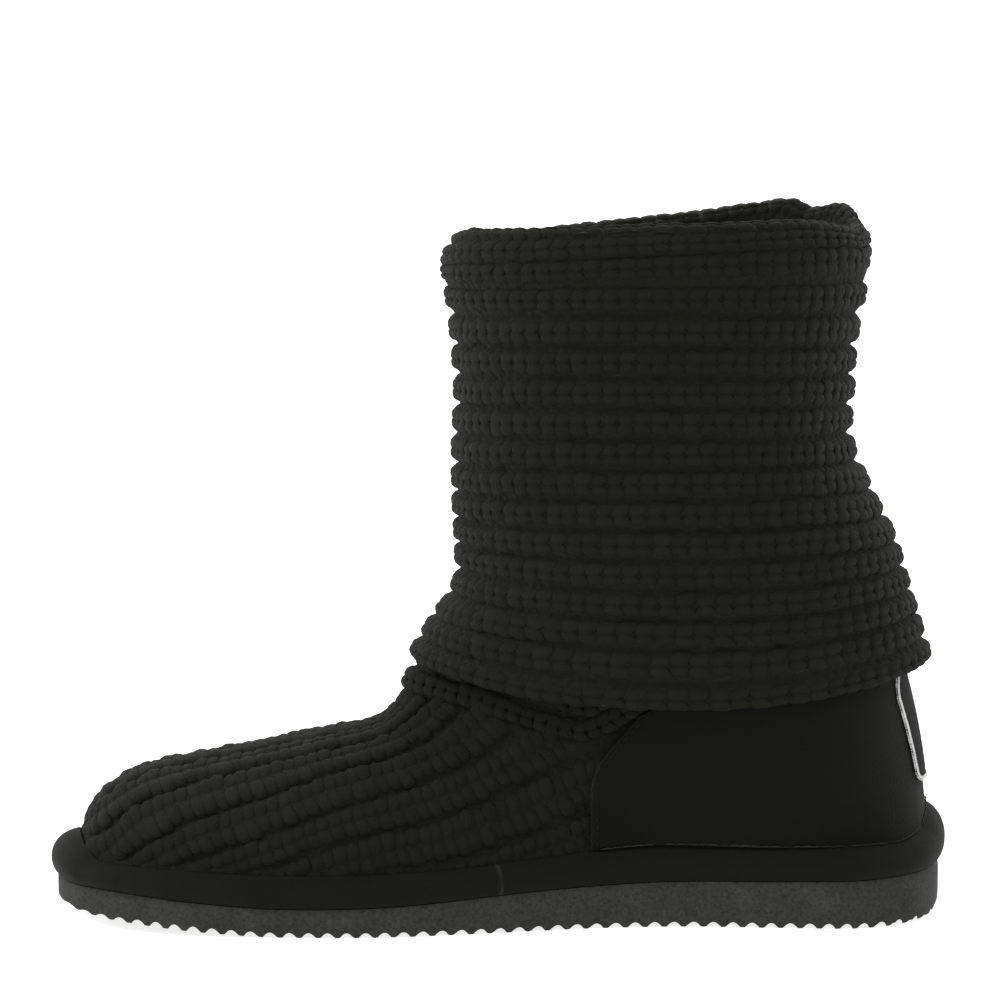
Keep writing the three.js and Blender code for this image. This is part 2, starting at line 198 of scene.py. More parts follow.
SIDE_LINES = Table(
    ("x", "floor", "sole_top", "rand_top"),
    (
        (-150, 9.6, 13.2, 32), (-137, 6.8, 12.4, 26.6), (-133, 6, 12.3, 22.6), (-126, 4.7, 12.2, 19.3),
        (-116, 3.5, 11.9, 18.7), (-92, 1.6, 10.2, 18.4), (-66, 0, 8.6, 17.9), (-28, 0, 9.3, 18.4),
        (5, 0, 11.7, 20.3), (45, 0, 13.6, 24.4), (85, 0, 14.1, 24.2), (112, 0, 14.6, 23.9),
        (126, 0.3, 15.1, 24), (133, 0.8, 15.4, 27), (137, 1.1, 15.6, 36), (150, 2.2, 16.2, 48),
    ),
)

SOLE_EDGE = Table(("z", "inset"), ((-1, 4.4), (1.4, 2.8), (4, 2), (20, 2)))

RAND_SECTION = Table(
    ("rise", "inset"),
    ((0, 2.2), (0.18, 0.5), (0.42, 0), (0.64, 0.9), (0.82, 3), (0.95, 6.2), (1, 9.5), (1, 13)),
)

FOOT_SECTIONS = Table(
    ("top_x", "top_z", "bottom_x", "bottom_z", "medial", "lateral", "wide", "square"),
    (
        (-128.4, 21, -128.4, 5, 8, 5, 0.5, 2.4),
        (-126.2, 30, -126.6, 1, 16, 11, 0.5, 3),
        (-120, 37.6, -120, 1, 26, 20, 0.45, 3.6),
        (-107.6, 44.2, -106, 1, 33.5, 28.5, 0.4, 4),
        (-92, 47.6, -90, 1, 38.5, 34.5, 0.37, 4),
        (-73, 51.2, -68, 1, 42, 40, 0.35, 4),
        (-52, 55.4, -38, 1, 42.8, 43, 0.34, 4),
        (-38, 58.4, -3, 1, 38.5, 41.8, 0.35, 4),
        (-32, 63.6, 40, 1, 31.5, 38, 0.36, 3.6),
        (-29.2, 68.6, 84, 1, 28.5, 34.5, 0.4, 3),
        (-26, 74, 117, 1, 30, 33, 0.44, 2.8),
        (-19, 80.6, 128, 13, 33, 34, 0.46, 2.4),
        (-12.5, 91, 127.6, 36, 36, 36, 0.48, 2.2),
        (-8.4, 106, 123.4, 62, 38.5, 38.5, 0.5, 2.2),
        (-7.6, 128, 114.5, 93, 41.5, 41.5, 0.5, 2.2),
        (-7.4, 152, 102, 128, 44.4, 44.4, 0.5, 2.2),
        (-8, 172, 100, 158, 46, 46, 0.5, 2.2),
        (-10.5, 190, 102.6, 186, 47.4, 47.4, 0.5, 2.2),
        (-11.5, 206, 104.6, 207, 48, 48, 0.5, 2.2),
        (-11.5, 232, 104.6, 232, 48, 48, 0.5, 2.2),
    ),
)

CUFF_SECTIONS = Table(
    ("front_x", "back_x", "end_z", "side_z", "tilt", "half"),
    (
        (-28.4, 132, 78, 66.8, -0.4, 46.5),
        (-22.2, 128.2, 89, 83, 0.5, 47.4),
        (-14.8, 124.4, 101.3, 98.5, 0.7, 48.6),
        (-14.4, 120.4, 114.5, 114, 0.5, 49.8),
        (-15, 113.4, 128.4, 129.6, 0.7, 51),
        (-15, 107.4, 143.4, 145, 0.4, 52),
        (-14.4, 107.4, 158.8, 160.6, 0.1, 52.8),
        (-15.4, 108.4, 174.5, 176, 0, 53.4),
        (-17.4, 111.2, 190.5, 191.6, 1, 54),
        (-18.4, 111.8, 200, 200.4, 4.6, 54),
    ),
)

RIM_LIFT = (
    (-180, -4.6), (-174, -5.2), (-168, -5.4), (-158, -5.4), (-145, -3.6), (-131, -1.6), (-115, -1),
    (-100, -0.4), (-90, 0.4), (-67, 1.4), (-49, 2.1), (-24, 2.8), (-8, 1.6), (10, 0), (25, -1), (50, -1),
    (67, -0.5), (90, 0.1), (105, 0.8), (120, 2.1), (130, 2.8), (137, 2.6), (141, 0.8), (144, -0.2),
    (149, 0), (155, 0.9), (163, 0.8), (169, -0.8), (175, -3.4), (180, -4.6),
)

VAMP_RIBS = Table(
    ("crown", "second", "third", "fourth", "fifth", "sixth", "seventh", "eighth"),
    (
        (2, 5, 9, 13, 17, 21, 25, 29),
        (5.5, 16, 28, 39, 50, 60, 70, 80),
        (8.4, 25.8, 42, 54, 65, 76, 87, 98),
        (8.4, 24.4, 41.1, 53.5, 64.5, 75.5, 86, 97),
        (7.8, 21.6, 38.2, 50.7, 61.5, 73, 84, 95),
        (7.2, 20.2, 35.6, 48.8, 59.2, 71, 82.5, 94),
        (6.2, 17.8, 30.2, 44, 54.3, 67.2, 79, 91),
        (5.4, 15.2, 26, 39.2, 51.2, 65, 77, 89),
        (5, 14.2, 25.1, 38.4, 51.8, 68, 82, 95),
        (5, 14.5, 25.6, 42, 57.8, 76.7, 93, 110),
        (5, 15, 27, 46, 65.4, 86, 105, 124),
        (5, 15.5, 28, 50, 73, 95, 117, 138),
        (5, 16, 29, 54, 80, 104, 128, 150),
        (5, 16.5, 30, 57, 86, 112, 138, 160),
    ),
)

ANKLE_SEAM = Table(
    ("x", "z"),
    ((-60, 70), (-31, 67.5), (-9, 64.5), (10, 58.8), (25, 56.2), (44, 65.5), (62, 75), (84, 79), (140, 80)),
)


@dataclass(frozen=True)
class FootForm:
    """The outside of the knit over foot and ankle, as rings from the toe up to the top of the leg.

    Args:
        sections: The rings, each with its top and bottom point and half widths.
    """

    sections: Table = FOOT_SECTIONS

    TREE_GRID = (260, 220)
    SEAM_RINGS = (6, 15)
    SEAM_STEPS = 1800

    @property
    def last(self) -> float:
        """The place of the last ring."""
        return len(self.sections.rows) - 1

    def point(self, place: Array, angle: Array) -> Array:
        """Points of the form.

        Args:
            place: Places counted in rings.
            angle: Angles round the ring, 0 at the top or front, positive to the outer side.

        Returns:
            The points in millimetres, with one more axis of three.
        """
        place, angle = np.broadcast_arrays(np.asarray(place, float), np.asarray(angle, float))
        row = self.sections.at(place)
        power = 2 / np.where(np.cos(angle) > 0, CROWN_POWER, row["square"])
        up = signed_power(np.cos(angle), power)
        across = signed_power(np.sin(angle), power)
        rise = row["wide"] + up * np.where(up > 0, 1 - row["wide"], row["wide"])
        x = lerp(row["bottom_x"], row["top_x"], rise)
        y = across * np.where(across > 0, row["lateral"], row["medial"])
        z = lerp(row["bottom_z"], row["top_z"], rise)
        return np.stack([x, y, z], axis=-1)

    def normal(self, place: Array, angle: Array) -> Array:
        """Directions straight out of the form.

        Args:
            place: Places counted in rings.
            angle: Angles round the ring.

        Returns:
            Unit vectors.
        """
        place, angle = np.broadcast_arrays(np.asarray(place, float), np.asarray(angle, float))
        ahead = self.point(np.minimum(place + NUDGE, self.last), angle)
        behind = self.point(np.maximum(place - NUDGE, 0), angle)
        return unit(np.cross(ahead - behind, self.turning(place, angle)))

    def turning(self, place: Array, angle: Array) -> Array:
        """Short vectors round the ring, towards growing angles."""
        return self.point(place, angle + NUDGE) - self.point(place, angle - NUDGE)

    def shell(self, place: Array, angle: Array, grow: Any) -> Array:
        """Points of the form moved out by grow millimetres."""
        grow = np.asarray(grow, float)
        return self.point(place, angle) + self.normal(place, angle) * grow[..., None]

    def tree(self, grow: float) -> BVHTree:
        """A search tree of the form's surface.

        Args:
            grow: How far the surface is moved out, in millimetres.

        Returns:
            The tree.
        """
        rows, columns = self.TREE_GRID
        place = np.linspace(0, self.last, rows)[:, None]
        angle = np.linspace(-math.pi, math.pi, columns, endpoint=False)[None, :]
        points = self.shell(place, angle, grow)
        return BVHTree.FromPolygons(points.reshape(-1, 3).tolist(), grid_faces(rows, columns, wrap=True))

    def seam_place(self, angle: Array) -> Array:
        """The place on each line of equal angle where it crosses the ankle seam.

        Args:
            angle: Angles round the rings.

        Returns:
            Places counted in rings.
        """
        place = np.linspace(*self.SEAM_RINGS, self.SEAM_STEPS)
        points = self.point(place[:, None], np.asarray(angle)[None, :])
        above = points[..., 2] > ANKLE_SEAM.along("z", points[..., 0])
        return place[np.argmax(above, axis=0)]


@dataclass(frozen=True)
class CuffForm:
    """The outside of the turned-down cuff, from its hem up and over the fold.

    Args:
        sections: The rings, each with its front and back, its heights and its half width.
        slope: How far the fold leans back at the front, in millimetres.
        rim_rows: Rows over which the rise and fall of the rim sets in.
        girth_row: The row whose girth the stitches share evenly.
    """

    sections: Table = CUFF_SECTIONS
    slope: float = 1.4
    rim_rows: float = 1.4
    girth_row: float = 5.0

    GIRTH_STEPS = 1441

    def point(self, course: Array, angle: Array, sink: Any = 0.0) -> Array:
        """Points of the cuff.

        Args:
            course: Rows up the cuff; from 9 to 10 it turns over the fold.
            angle: Angles round the cuff, 0 at the front, positive to the outer side.
            sink: How far under the surface, in millimetres.

        Returns:
            The points in millimetres.
        """
        course, angle, sink = np.broadcast_arrays(
            np.asarray(course, float), np.asarray(angle, float), np.asarray(sink, float)
        )
        row = self.sections.at(np.minimum(course, FOLD_ROW))
        turn = np.clip(course - FOLD_ROW, 0, 1) * FOLD_TURN
        front = np.maximum(np.cos(angle), 0) ** 3
        inset = FOLD_HALF * (1 - np.cos(turn)) + sink * np.cos(turn) + self.slope * front * np.sin(turn)
        share = np.clip((course - RIB_ROWS) / self.rim_rows, 0, 1)
        lift = (FOLD_HEIGHT - sink) * np.sin(turn) + self.rim_lift(angle) * share * share
        up = signed_power(np.cos(angle), 2 / CUFF_POWER)
        across = signed_power(np.sin(angle), 2 / CUFF_POWER)
        reach = (row["back_x"] - row["front_x"]) / 2 - inset
        x = (row["back_x"] + row["front_x"]) / 2 - up * reach
        y = across * (row["half"] - inset)
        z = lerp(row["end_z"], row["side_z"], np.sin(angle) ** 2) - row["tilt"] * up + lift
        return np.stack([x, y, z], axis=-1)

    @staticmethod
    def rim_lift(angle: Array) -> Array:
        """The fold's rise and fall, with a dip where the tube is joined at the back."""
        return np.interp(np.degrees(half_turn(angle)), *zip(*RIM_LIFT))

    def normal(self, course: Array, angle: Array) -> Array:
        """Directions straight out of the cuff."""
        rise = self.point(course + NUDGE, angle) - self.point(course - NUDGE, angle)
        return unit(np.cross(rise, self.turning(course, angle)))

    def turning(self, course: Array, angle: Array) -> Array:
        """Short vectors round the cuff, towards growing angles."""
        return self.point(course, angle + NUDGE) - self.point(course, angle - NUDGE)

    def even_angles(self, count: int) -> Array:
        """Angles that share the cuff's girth evenly.

        Args:
            count: How many angles.

        Returns:
            The angles, from 0 at the front.
        """
        angle = np.linspace(0, 2 * math.pi, self.GIRTH_STEPS)
        girth = lengths(self.point(self.girth_row, angle))
        return np.interp(np.arange(count) / count * girth[-1], girth, angle)


@dataclass(frozen=True)
class SoleForm:
    """The outline of rand and sole, seen from above."""

    FINE = 2400

    @staticmethod
    def spline(fine: int = 60) -> Array:
        """The smooth outline through the table, centred and scaled to size.

        Args:
            fine: Steps between two points of the table.

        Returns:
            Points in millimetres, from the toe along the inner side, the first one not repeated.
        """
        knots = np.array(OUTLINE, float)
        count = len(knots)
        share = np.linspace(0, 1, fine, endpoint=False)[:, None]
        pieces = []
        for i in range(count):
            a, b, c, d = (knots[(i + step) % count] for step in (-1, 0, 1, 2))
            ab, bc, cd = (np.linalg.norm(q - p) ** 0.5 for p, q in ((a, b), (b, c), (c, d)))
            leave = ((b - a) / ab - (c - a) / (ab + bc) + (c - b) / bc) * bc
            reach = ((c - b) / bc - (d - b) / (bc + cd) + (d - c) / cd) * bc
            square, cube = 3 * (c - b) - 2 * leave - reach, 2 * (b - c) + leave + reach
            pieces.append(b + share * (leave + share * (square + share * cube)))
        points = np.concatenate(pieces)
        low, high = points.min(axis=0), points.max(axis=0)
        return (points - (low + high) / 2) * np.array([LENGTH, BALL_WIDTH]) / (high - low)

    def even(self, count: int) -> tuple[Array, Array]:
        """Evenly spaced points of the outline.

        Args:
            count: How many points.

        Returns:
            The points and the unit vectors straight in from them.
        """
        points = even_ring(self.spline(), count)
        along = unit(np.roll(points, -1, axis=0) - np.roll(points, 1, axis=0))
        return points, np.stack([-along[:, 1], along[:, 0]], axis=-1)

    def sides(self, x: Array) -> tuple[tuple[Array, Array], tuple[Array, Array]]:
        """Both sides of the outline at places along the length.

        Args:
            x: Places along the length, from the toe's tip to the heel's.

        Returns:
            For the inner and then the outer side, the points and the unit vectors straight in.
        """
        points, inward = self.even(self.FINE)
        toe, heel = int(np.argmin(points[:, 0])), int(np.argmax(points[:, 0]))
        sides = []
        for index in (np.arange(toe, heel + 1), np.arange(heel, toe + self.FINE + 1) % self.FINE):
            index = index[np.argsort(points[index, 0])]
            knots = points[index, 0]
            y = np.interp(x, knots, points[index, 1])
            sides.append((np.stack([x, y], axis=-1), unit(read(x, knots, inward[index]))))
        return sides[0], sides[1]


FOOT = FootForm()
CUFF = CuffForm()
SOLE = SoleForm()


def grid_faces(rows: int, columns: int, wrap: bool = False, loop: bool = False) -> list[tuple[int, ...]]:
    """Four-sided faces of a grid of points.

    Args:
        rows: Rows of points.
        columns: Points in a row.
        wrap: Whether each row closes on itself.
        loop: Whether the last row joins the first.

    Returns:
        Corner numbers of each face.
    """
    row = np.arange(rows if loop else rows - 1)[:, None]
    column = np.arange(columns if wrap else columns - 1)[None, :]
    ahead, beside = (row + 1) % rows, (column + 1) % columns
    turns = ((row, column), (row, beside), (ahead, beside), (ahead, column))
    corners = [line * columns + spot for line, spot in turns]
    return np.stack(np.broadcast_arrays(*corners), axis=-1).reshape(-1, 4).tolist()


def mesh_piece(name: str, points: Array, faces: list[tuple[int, ...]]) -> Piece:
    """Makes a smooth mesh piece at the origin.

    Args:
        name: The piece's name.
        points: Its points in millimetres.
        faces: Corner numbers of its faces.

    Returns:
        The piece, with doubled points joined and its faces turned outward.
    """
    mesh = bpy.data.meshes.new(name)
    mesh.from_pydata((points.reshape(-1, 3) * MM).tolist(), [], faces)
    work = bmesh.new()
    work.from_mesh(mesh)
    bmesh.ops.delete(work, geom=[v for v in work.verts if not v.link_faces], context="VERTS")
    bmesh.ops.remove_doubles(work, verts=work.verts, dist=1e-6)
    bmesh.ops.dissolve_degenerate(work, edges=work.edges, dist=1e-7)
    bmesh.ops.recalc_face_normals(work, faces=work.faces)
    work.to_mesh(mesh)
    work.free()
    mesh.polygons.foreach_set("use_smooth", [True] * len(mesh.polygons))
    piece = bpy.data.objects.new(name, mesh)
    bpy.context.scene.collection.objects.link(piece)
    return piece


def dress(piece: Piece, material: Material, slot: str, *nodes: str) -> Piece:
    """Gives a piece its finish and its place in the frame.

    Args:
        piece: The piece.
        material: Its finish, unless it has one already.
        slot: A material slot's name; not used.
        nodes: The CAD nodes it stands for.

    Returns:
        The piece.
    """
    if not piece.data.materials:
        piece.data.materials.append(material)
    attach(piece, "root")
    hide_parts(*nodes)
    return piece


def mark(piece: Piece, name: str, values: Array) -> None:
    """Stores a number or a vector for each point of a piece, for its finish to read."""
    kind, key = ("FLOAT", "value") if values.ndim == 1 else ("FLOAT_VECTOR", "vector")
    piece.data.attributes.new(name, kind, "POINT").data.foreach_set(key, values.astype(np.float32).ravel())


def bake(piece: Piece, modifier: bpy.types.Modifier) -> None:
    """Makes a piece the plain mesh that its modifier gives.

    Args:
        piece: The piece.
        modifier: Its only modifier.
    """
    piece.update_tag()
    graph = bpy.context.evaluated_depsgraph_get()
    mesh = bpy.data.meshes.new_from_object(piece.evaluated_get(graph))
    piece.modifiers.remove(modifier)
    bare, piece.data = piece.data, mesh
    bpy.data.meshes.remove(bare)
    mesh.name = piece.name


def face_out(piece: Piece, heart: Triple) -> None:
    """Turns an open sheet's faces away from a point inside it.

    Args:
        piece: The sheet.
        heart: The point, in millimetres.
    """
    inside = Vector(heart) * MM
    faces = piece.data.polygons
    if sum(face.normal.dot(face.center - inside) * face.area for face in faces) < 0:
        piece.data.flip_normals()


def thicken(piece: Piece, wall: float) -> None:
    """Gives an open sheet a wall, inward from its faces.

    Args:
        piece: The sheet.
        wall: The wall's thickness in millimetres.
    """
    modifier = piece.modifiers.new("wall", "SOLIDIFY")
    modifier.thickness = wall * MM
    modifier.offset = -1
    modifier.use_even_offset = False
    bake(piece, modifier)


def cast(tree: BVHTree, starts: Array, heading: Array, reach: float) -> tuple[Array, Array]:
    """Casts rays from inside a surface.

    Args:
        tree: The surface.
        starts: Where the rays start.
        heading: Which way they go.
        reach: How far they go at the most, in millimetres.

    Returns:
        Where they meet the surface, and the directions straight out of it there.
    """
    spots, facing = np.zeros(starts.shape), np.zeros(starts.shape)
    for ray in np.ndindex(starts.shape[:-1]):
        spot, normal, _, _ = tree.ray_cast(Vector(starts[ray]), Vector(heading[ray]), reach)
        spots[ray] = spot
        facing[ray] = np.array(normal) * np.sign(np.dot(normal, heading[ray]))
    return spots, facing


def distances(tree: BVHTree, starts: Array, heading: Array, reach: float, missed: float) -> Array:
    """Distances along rays to a surface, with missed for a ray that meets nothing within reach."""
    hits = (tree.ray_cast(Vector(start), Vector(aim), reach) for start, aim in zip(starts, heading))
    return np.array([missed if spot is None else away for spot, _, _, away in hits])


class NodeTree:
    """A node tree that is filled one node a call.

    Args:
        tree: The Blender tree.
    """

    def __init__(self, tree: bpy.types.NodeTree) -> None:
        """Takes up the tree."""
        self.tree = tree

    def node(
        self, kind: str, settings: Settings | None = None, inputs: Inputs | None = None
    ) -> bpy.types.Node:
        """Adds a node.

        Args:
            kind: Blender's name for the kind of node.
            settings: Its own settings, set first.
            inputs: A value, a socket or a Signal for each named input.

        Returns:
            The node.
        """
        node = self.tree.nodes.new(kind)
        for name, value in (settings or {}).items():
            setattr(node, name, value)
        for key, value in (inputs or {}).items():
            self.feed(self.socket(node.inputs, key), value)
        return node

    @staticmethod
    def socket(sockets: Any, key: str | int) -> Socket:
        """A socket by its number, its identifier or its name."""
        if isinstance(key, int):
            return sockets[key]
        return next((s for s in sockets if s.identifier == key), None) or sockets[key]

    def feed(self, socket: Socket, value: Any) -> None:
        """Links or sets an input.

        Args:
            socket: The input.
            value: A value, a socket or a Signal.
        """
        source = value.socket if isinstance(value, Signal) else value
        if isinstance(source, Socket):
            self.tree.links.new(source, socket)
        else:
            socket.default_value = source

    def signal(
        self, kind: str, settings: Settings | None = None, inputs: Inputs | None = None, output: str | int = 0
    ) -> "Signal":
        """One output, ready for arithmetic, of a node that is added as by node()."""
        node = self.node(kind, settings, inputs)
        return Signal(self, self.socket(node.outputs, output))


class Signal:
    """An output socket that arithmetic operators join by Math nodes.

    Args:
        owner: The tree it belongs to.
        socket: The output socket.
    """

    def __init__(self, owner: NodeTree, socket: Socket) -> None:
        """Keeps the socket and its tree."""
        self.owner = owner
        self.socket = socket

    def math(self, operation: str, *values: Any) -> "Signal":
        """The result of a Math node over these values."""
        return self.owner.signal("ShaderNodeMath", {"operation": operation}, dict(enumerate(values)))

    def __add__(self, other: Any) -> "Signal":
        """This plus other."""
        return self.math("ADD", self, other)

    __radd__ = __add__

    def __sub__(self, other: Any) -> "Signal":
        """This minus other."""
        return self.math("SUBTRACT", self, other)

    def __rsub__(self, other: Any) -> "Signal":
        """Other minus this."""
        return self.math("SUBTRACT", other, self)

    def __mul__(self, other: Any) -> "Signal":
        """This times other."""
        return self.math("MULTIPLY", self, other)

    __rmul__ = __mul__

    def __pow__(self, other: Any) -> "Signal":
        """This to the power of other."""
        return self.math("POWER", self, other)

    def sine(self) -> "Signal":
        """The sine of this."""
        return self.math("SINE", self)

    def ramp(self, low: float, high: float) -> "Signal":
        """This as a smooth step from 0 at low to 1 at high."""
        settings = {"interpolation_type": "SMOOTHSTEP"}
        return self.owner.signal(
            "ShaderNodeMapRange", settings, {"Value": self, "From Min": low, "From Max": high}
        )


class Shader(NodeTree):
    """A material with one Principled surface.

    Args:
        name: The material's name.
        constants: Values set directly on the surface's inputs.
    """

    def __init__(self, name: str, constants: Settings) -> None:
        """Starts the material with its surface, its output and the places on the piece."""
        self.material = bpy.data.materials.new(name)
        self.material.use_nodes = True
        self.material.node_tree.nodes.clear()
        super().__init__(self.material.node_tree)
        self.surface = self.node("ShaderNodeBsdfPrincipled", inputs=constants)
        self.node("ShaderNodeOutputMaterial", inputs={"Surface": self.surface.outputs[0]})
        self.place = self.node("ShaderNodeTexCoord").outputs["Object"]

    def attribute(self, name: str) -> Signal:
        """A number stored on the piece's points."""
        return self.signal("ShaderNodeAttribute", {"attribute_name": name}, output="Fac")

    def noise(self, size: float, detail: float = 2.0, stretch: Triple = (1, 1, 1)) -> Signal:
        """Noise over the piece.

        Args:
            size: The size of its patches, in millimetres.
            detail: How many finer layers it has.
            stretch: How much longer the patches are along each axis.

        Returns:
            A number round one half.
        """
        scale = tuple(1 / s for s in stretch)
        mapped = self.node("ShaderNodeMapping", inputs={"Vector": self.place, "Scale": scale})
        inputs = {"Vector": mapped.outputs[0], "Scale": 1 / (size * MM), "Detail": detail}
        return self.signal("ShaderNodeTexNoise", inputs=inputs)

    def cells(self, size: float) -> Signal:
        """Distance from scattered points that lie about size millimetres apart, in shares of that."""
        return self.signal("ShaderNodeTexVoronoi", inputs={"Vector": self.place, "Scale": 1 / (size * MM)})

    def blend(self, share: Any, low: Any, high: Any) -> Signal:
        """A colour between low and high."""
        inputs = {"Factor_Float": share, "A_Color": low, "B_Color": high}
        return self.signal("ShaderNodeMix", {"data_type": "RGBA"}, inputs, "Result_Color")

    def paint(self, **inputs: Any) -> None:
        """Feeds inputs of the surface, with underscores for the spaces in their names."""
        for name, value in inputs.items():
            self.feed(self.surface.inputs[name.replace("_", " ")], value)

    def relief(self, height: Any, depth: float, base: Socket | None = None) -> None:
        """Bumps the surface.

        Args:
            height: The bumps' height.
            depth: What a height of one measures, in millimetres.
            base: The direction to bump from, where it isn't the surface's own.
        """
        inputs = {"Height": height, "Distance": depth * MM}
        if base is not None:
            inputs["Normal"] = base
        self.paint(Normal=self.node("ShaderNodeBump", inputs=inputs).outputs[0])

    def soft_normal(self, attribute: str, share: float) -> Socket:
        """The surface's direction, turned part of the way to one stored on its points, where the two agree.

        Args:
            attribute: The stored direction.
            share: How far it is turned, from 0 to 1.

        Returns:
            The direction.
        """
        own = self.node("ShaderNodeNewGeometry").outputs["Normal"]
        stored = self.node("ShaderNodeAttribute", {"attribute_name": attribute}).outputs["Vector"]
        both = {0: own, 1: stored}
        agree = self.signal("ShaderNodeVectorMath", {"operation": "DOT_PRODUCT"}, both, "Value")
        inputs = {"Factor_Float": agree.ramp(-0.4, 0.1) * share, "A_Vector": own, "B_Vector": stored}
        turned = self.signal("ShaderNodeMix", {"data_type": "VECTOR"}, inputs, "Result_Vector")
        return self.node("ShaderNodeVectorMath", {"operation": "NORMALIZE"}, {0: turned}).outputs[0]


@dataclass(frozen=True)
class Finish(ABC):
    """A material between two colours.

    Args:
        name: The material's name.
        dark: Its deepest colour.
        light: Its palest colour.
    """

    name: str
    dark: Colour
    light: Colour

    SURFACE: ClassVar[dict[str, float]]

    def make(self) -> Material:
        """Builds the material.

        Returns:
            The material.
        """
        shader = Shader(self.name, self.SURFACE)
        self.work(shader)
        return shader.material

    @abstractmethod
    def work(self, shader: Shader) -> None:
        """Gives the surface its colours, roughness and relief.

        Args:
            shader: The material that is worked on.
        """


@dataclass(frozen=True)
class Yarn(Finish):
    """Soft spun yarn of a knit.

    Args:
        fuzz: How far its loose fibres even out the shading of each stitch.
    """

    name: str = "knit_yarn"
    dark: Colour = grey(0.0036, 0.32)
    light: Colour = grey(0.0072, 0.32)
    fuzz: float = 0.6

    SURFACE = {"Roughness": 0.9, "Specular IOR Level": 0.1, "Sheen Weight": 0.05, "Sheen Roughness": 0.4}

    def work(self, shader: Shader) -> None:
        """Spins fibres along each stitch, with painted shade that darkens each leg towards its ends, where it
        dips into the cloth.

        Args:
            shader: The material that is worked on.
        """
        fibres = shader.noise(0.45, 3)
        patches = shader.noise(16)
        # painted shade: each leg is palest at its crown and darker towards its ends, where it goes into the
        # cloth
        crown = (shader.attribute("yarn_along") * math.pi).sine()
        share = crown * 0.35 + shader.attribute("tone") * 0.3 + fibres * 0.5 + patches * 0.4 - 0.45
        shader.paint(Base_Color=shader.blend(share, self.dark, self.light), Roughness=0.8 + fibres * 0.18)
        shader.relief(fibres, 0.4, shader.soft_normal("out", self.fuzz))


@dataclass(frozen=True)
class KnitGround(Finish):
    """The hidden back of the knit, between the raised stitches."""

    name: str = "knit_ground"
    dark: Colour = grey(0.0054, 0.32)
    light: Colour = grey(0.0112, 0.32)

    SURFACE = {"Roughness": 0.95, "Specular IOR Level": 0.05, "Sheen Weight": 0.03}

    def work(self, shader: Shader) -> None:
        """Covers the cloth with small loops.

        Args:
            shader: The material that is worked on.
        """
        loops = shader.cells(2.2)
        fibres = shader.noise(0.5, 3)
        tint = shader.blend(loops * 0.5 + fibres * 0.6 - 0.2, self.dark, self.light)
        shader.paint(Base_Color=tint, Roughness=0.85 + fibres * 0.13)
        shader.relief(loops + fibres * 0.5, 0.7)


@dataclass(frozen=True)
class Suede(Finish):
    """Brushed black suede, dark where its nap lies down and light where it stands up.

    Args:
        pale_strip: Its colour along the marked strips.
        fuzz: How far its nap evens out the shading.
    """

    name: str = "suede"
    dark: Colour = grey(0.0026, 0.3)
    light: Colour = grey(0.0048, 0.3)
    pale_strip: Colour = grey(0.03, 0.1)
    fuzz: float = 0.0

    SURFACE = {"Roughness": 0.95, "Specular IOR Level": 0.06, "Sheen Weight": 0.06, "Sheen Roughness": 0.5}

    def work(self, shader: Shader) -> None:
        """Brushes the nap in clouds and pales the marked strips.

        Args:
            shader: The material that is worked on.
        """
        nap = shader.noise(0.4, 4)
        clouds = shader.noise(11, 2, (2.2, 1, 1))
        tint = shader.blend(clouds * 0.9 + nap * 0.5 - 0.2, self.dark, self.light)
        # a paler strip is painted where the piece is marked: on the rand, just beside the joint of its two
        # ends
        pale_mark = shader.attribute("pale_mark") * (0.5 + nap)
        shader.paint(Base_Color=shader.blend(pale_mark, tint, self.pale_strip), Roughness=0.82 + nap * 0.16)
        shader.relief(nap, 0.25, shader.soft_normal("out", self.fuzz) if self.fuzz else None)


@dataclass(frozen=True)
class FoamRubber(Finish):
    """Matt moulded foam rubber, mottled and finely pored."""

    name: str = "foam_rubber"
    dark: Colour = grey(0.0071, 0.1)
    light: Colour = grey(0.036, 0.1)

    SURFACE = {"Roughness": 0.85, "Specular IOR Level": 0.2}

    def work(self, shader: Shader) -> None:
        """Mottles the skin and opens its pores, darkening them with painted shade.

        Args:
            shader: The material that is worked on.
        """
        mottle = shader.noise(1.1, 3)
        patches = shader.noise(9, 2)
        pores = shader.cells(1.3).ramp(0.12, 0.3)
        # painted shade: the pores are darkened, as the inside of a pore lies in shade
        share = (mottle * 1.25 + patches * 0.6 - 0.52) * (pores * 0.6 + 0.4)
        shader.paint(Base_Color=shader.blend(share, self.dark, self.light), Roughness=0.72 + mottle * 0.22)
        shader.relief(pores * 0.6 + mottle * 0.5, 0.25)


@dataclass(frozen=True)
class Fleece(Finish):
    """Short brushed pile of the footbed, palest on its tufts."""

    name: str = "fleece"
    dark: Colour = grey(0.006)
    light: Colour = grey(0.022)

    SURFACE = {"Roughness": 0.95, "Specular IOR Level": 0.05, "Sheen Weight": 0.15}

    def work(self, shader: Shader) -> None:
        """Raises the tufts, flatter in wide patches.

        Args:
            shader: The material that is worked on.
        """
        tufts = shader.noise(1.6, 4)
        pale_mark = shader.noise(24)
        tint = shader.blend(tufts * 1.2 + pale_mark * 0.4 - 0.4, self.dark, self.light)
        shader.paint(Base_Color=tint, Roughness=0.8 + tufts * 0.19)
        shader.relief(tufts, 1.2)


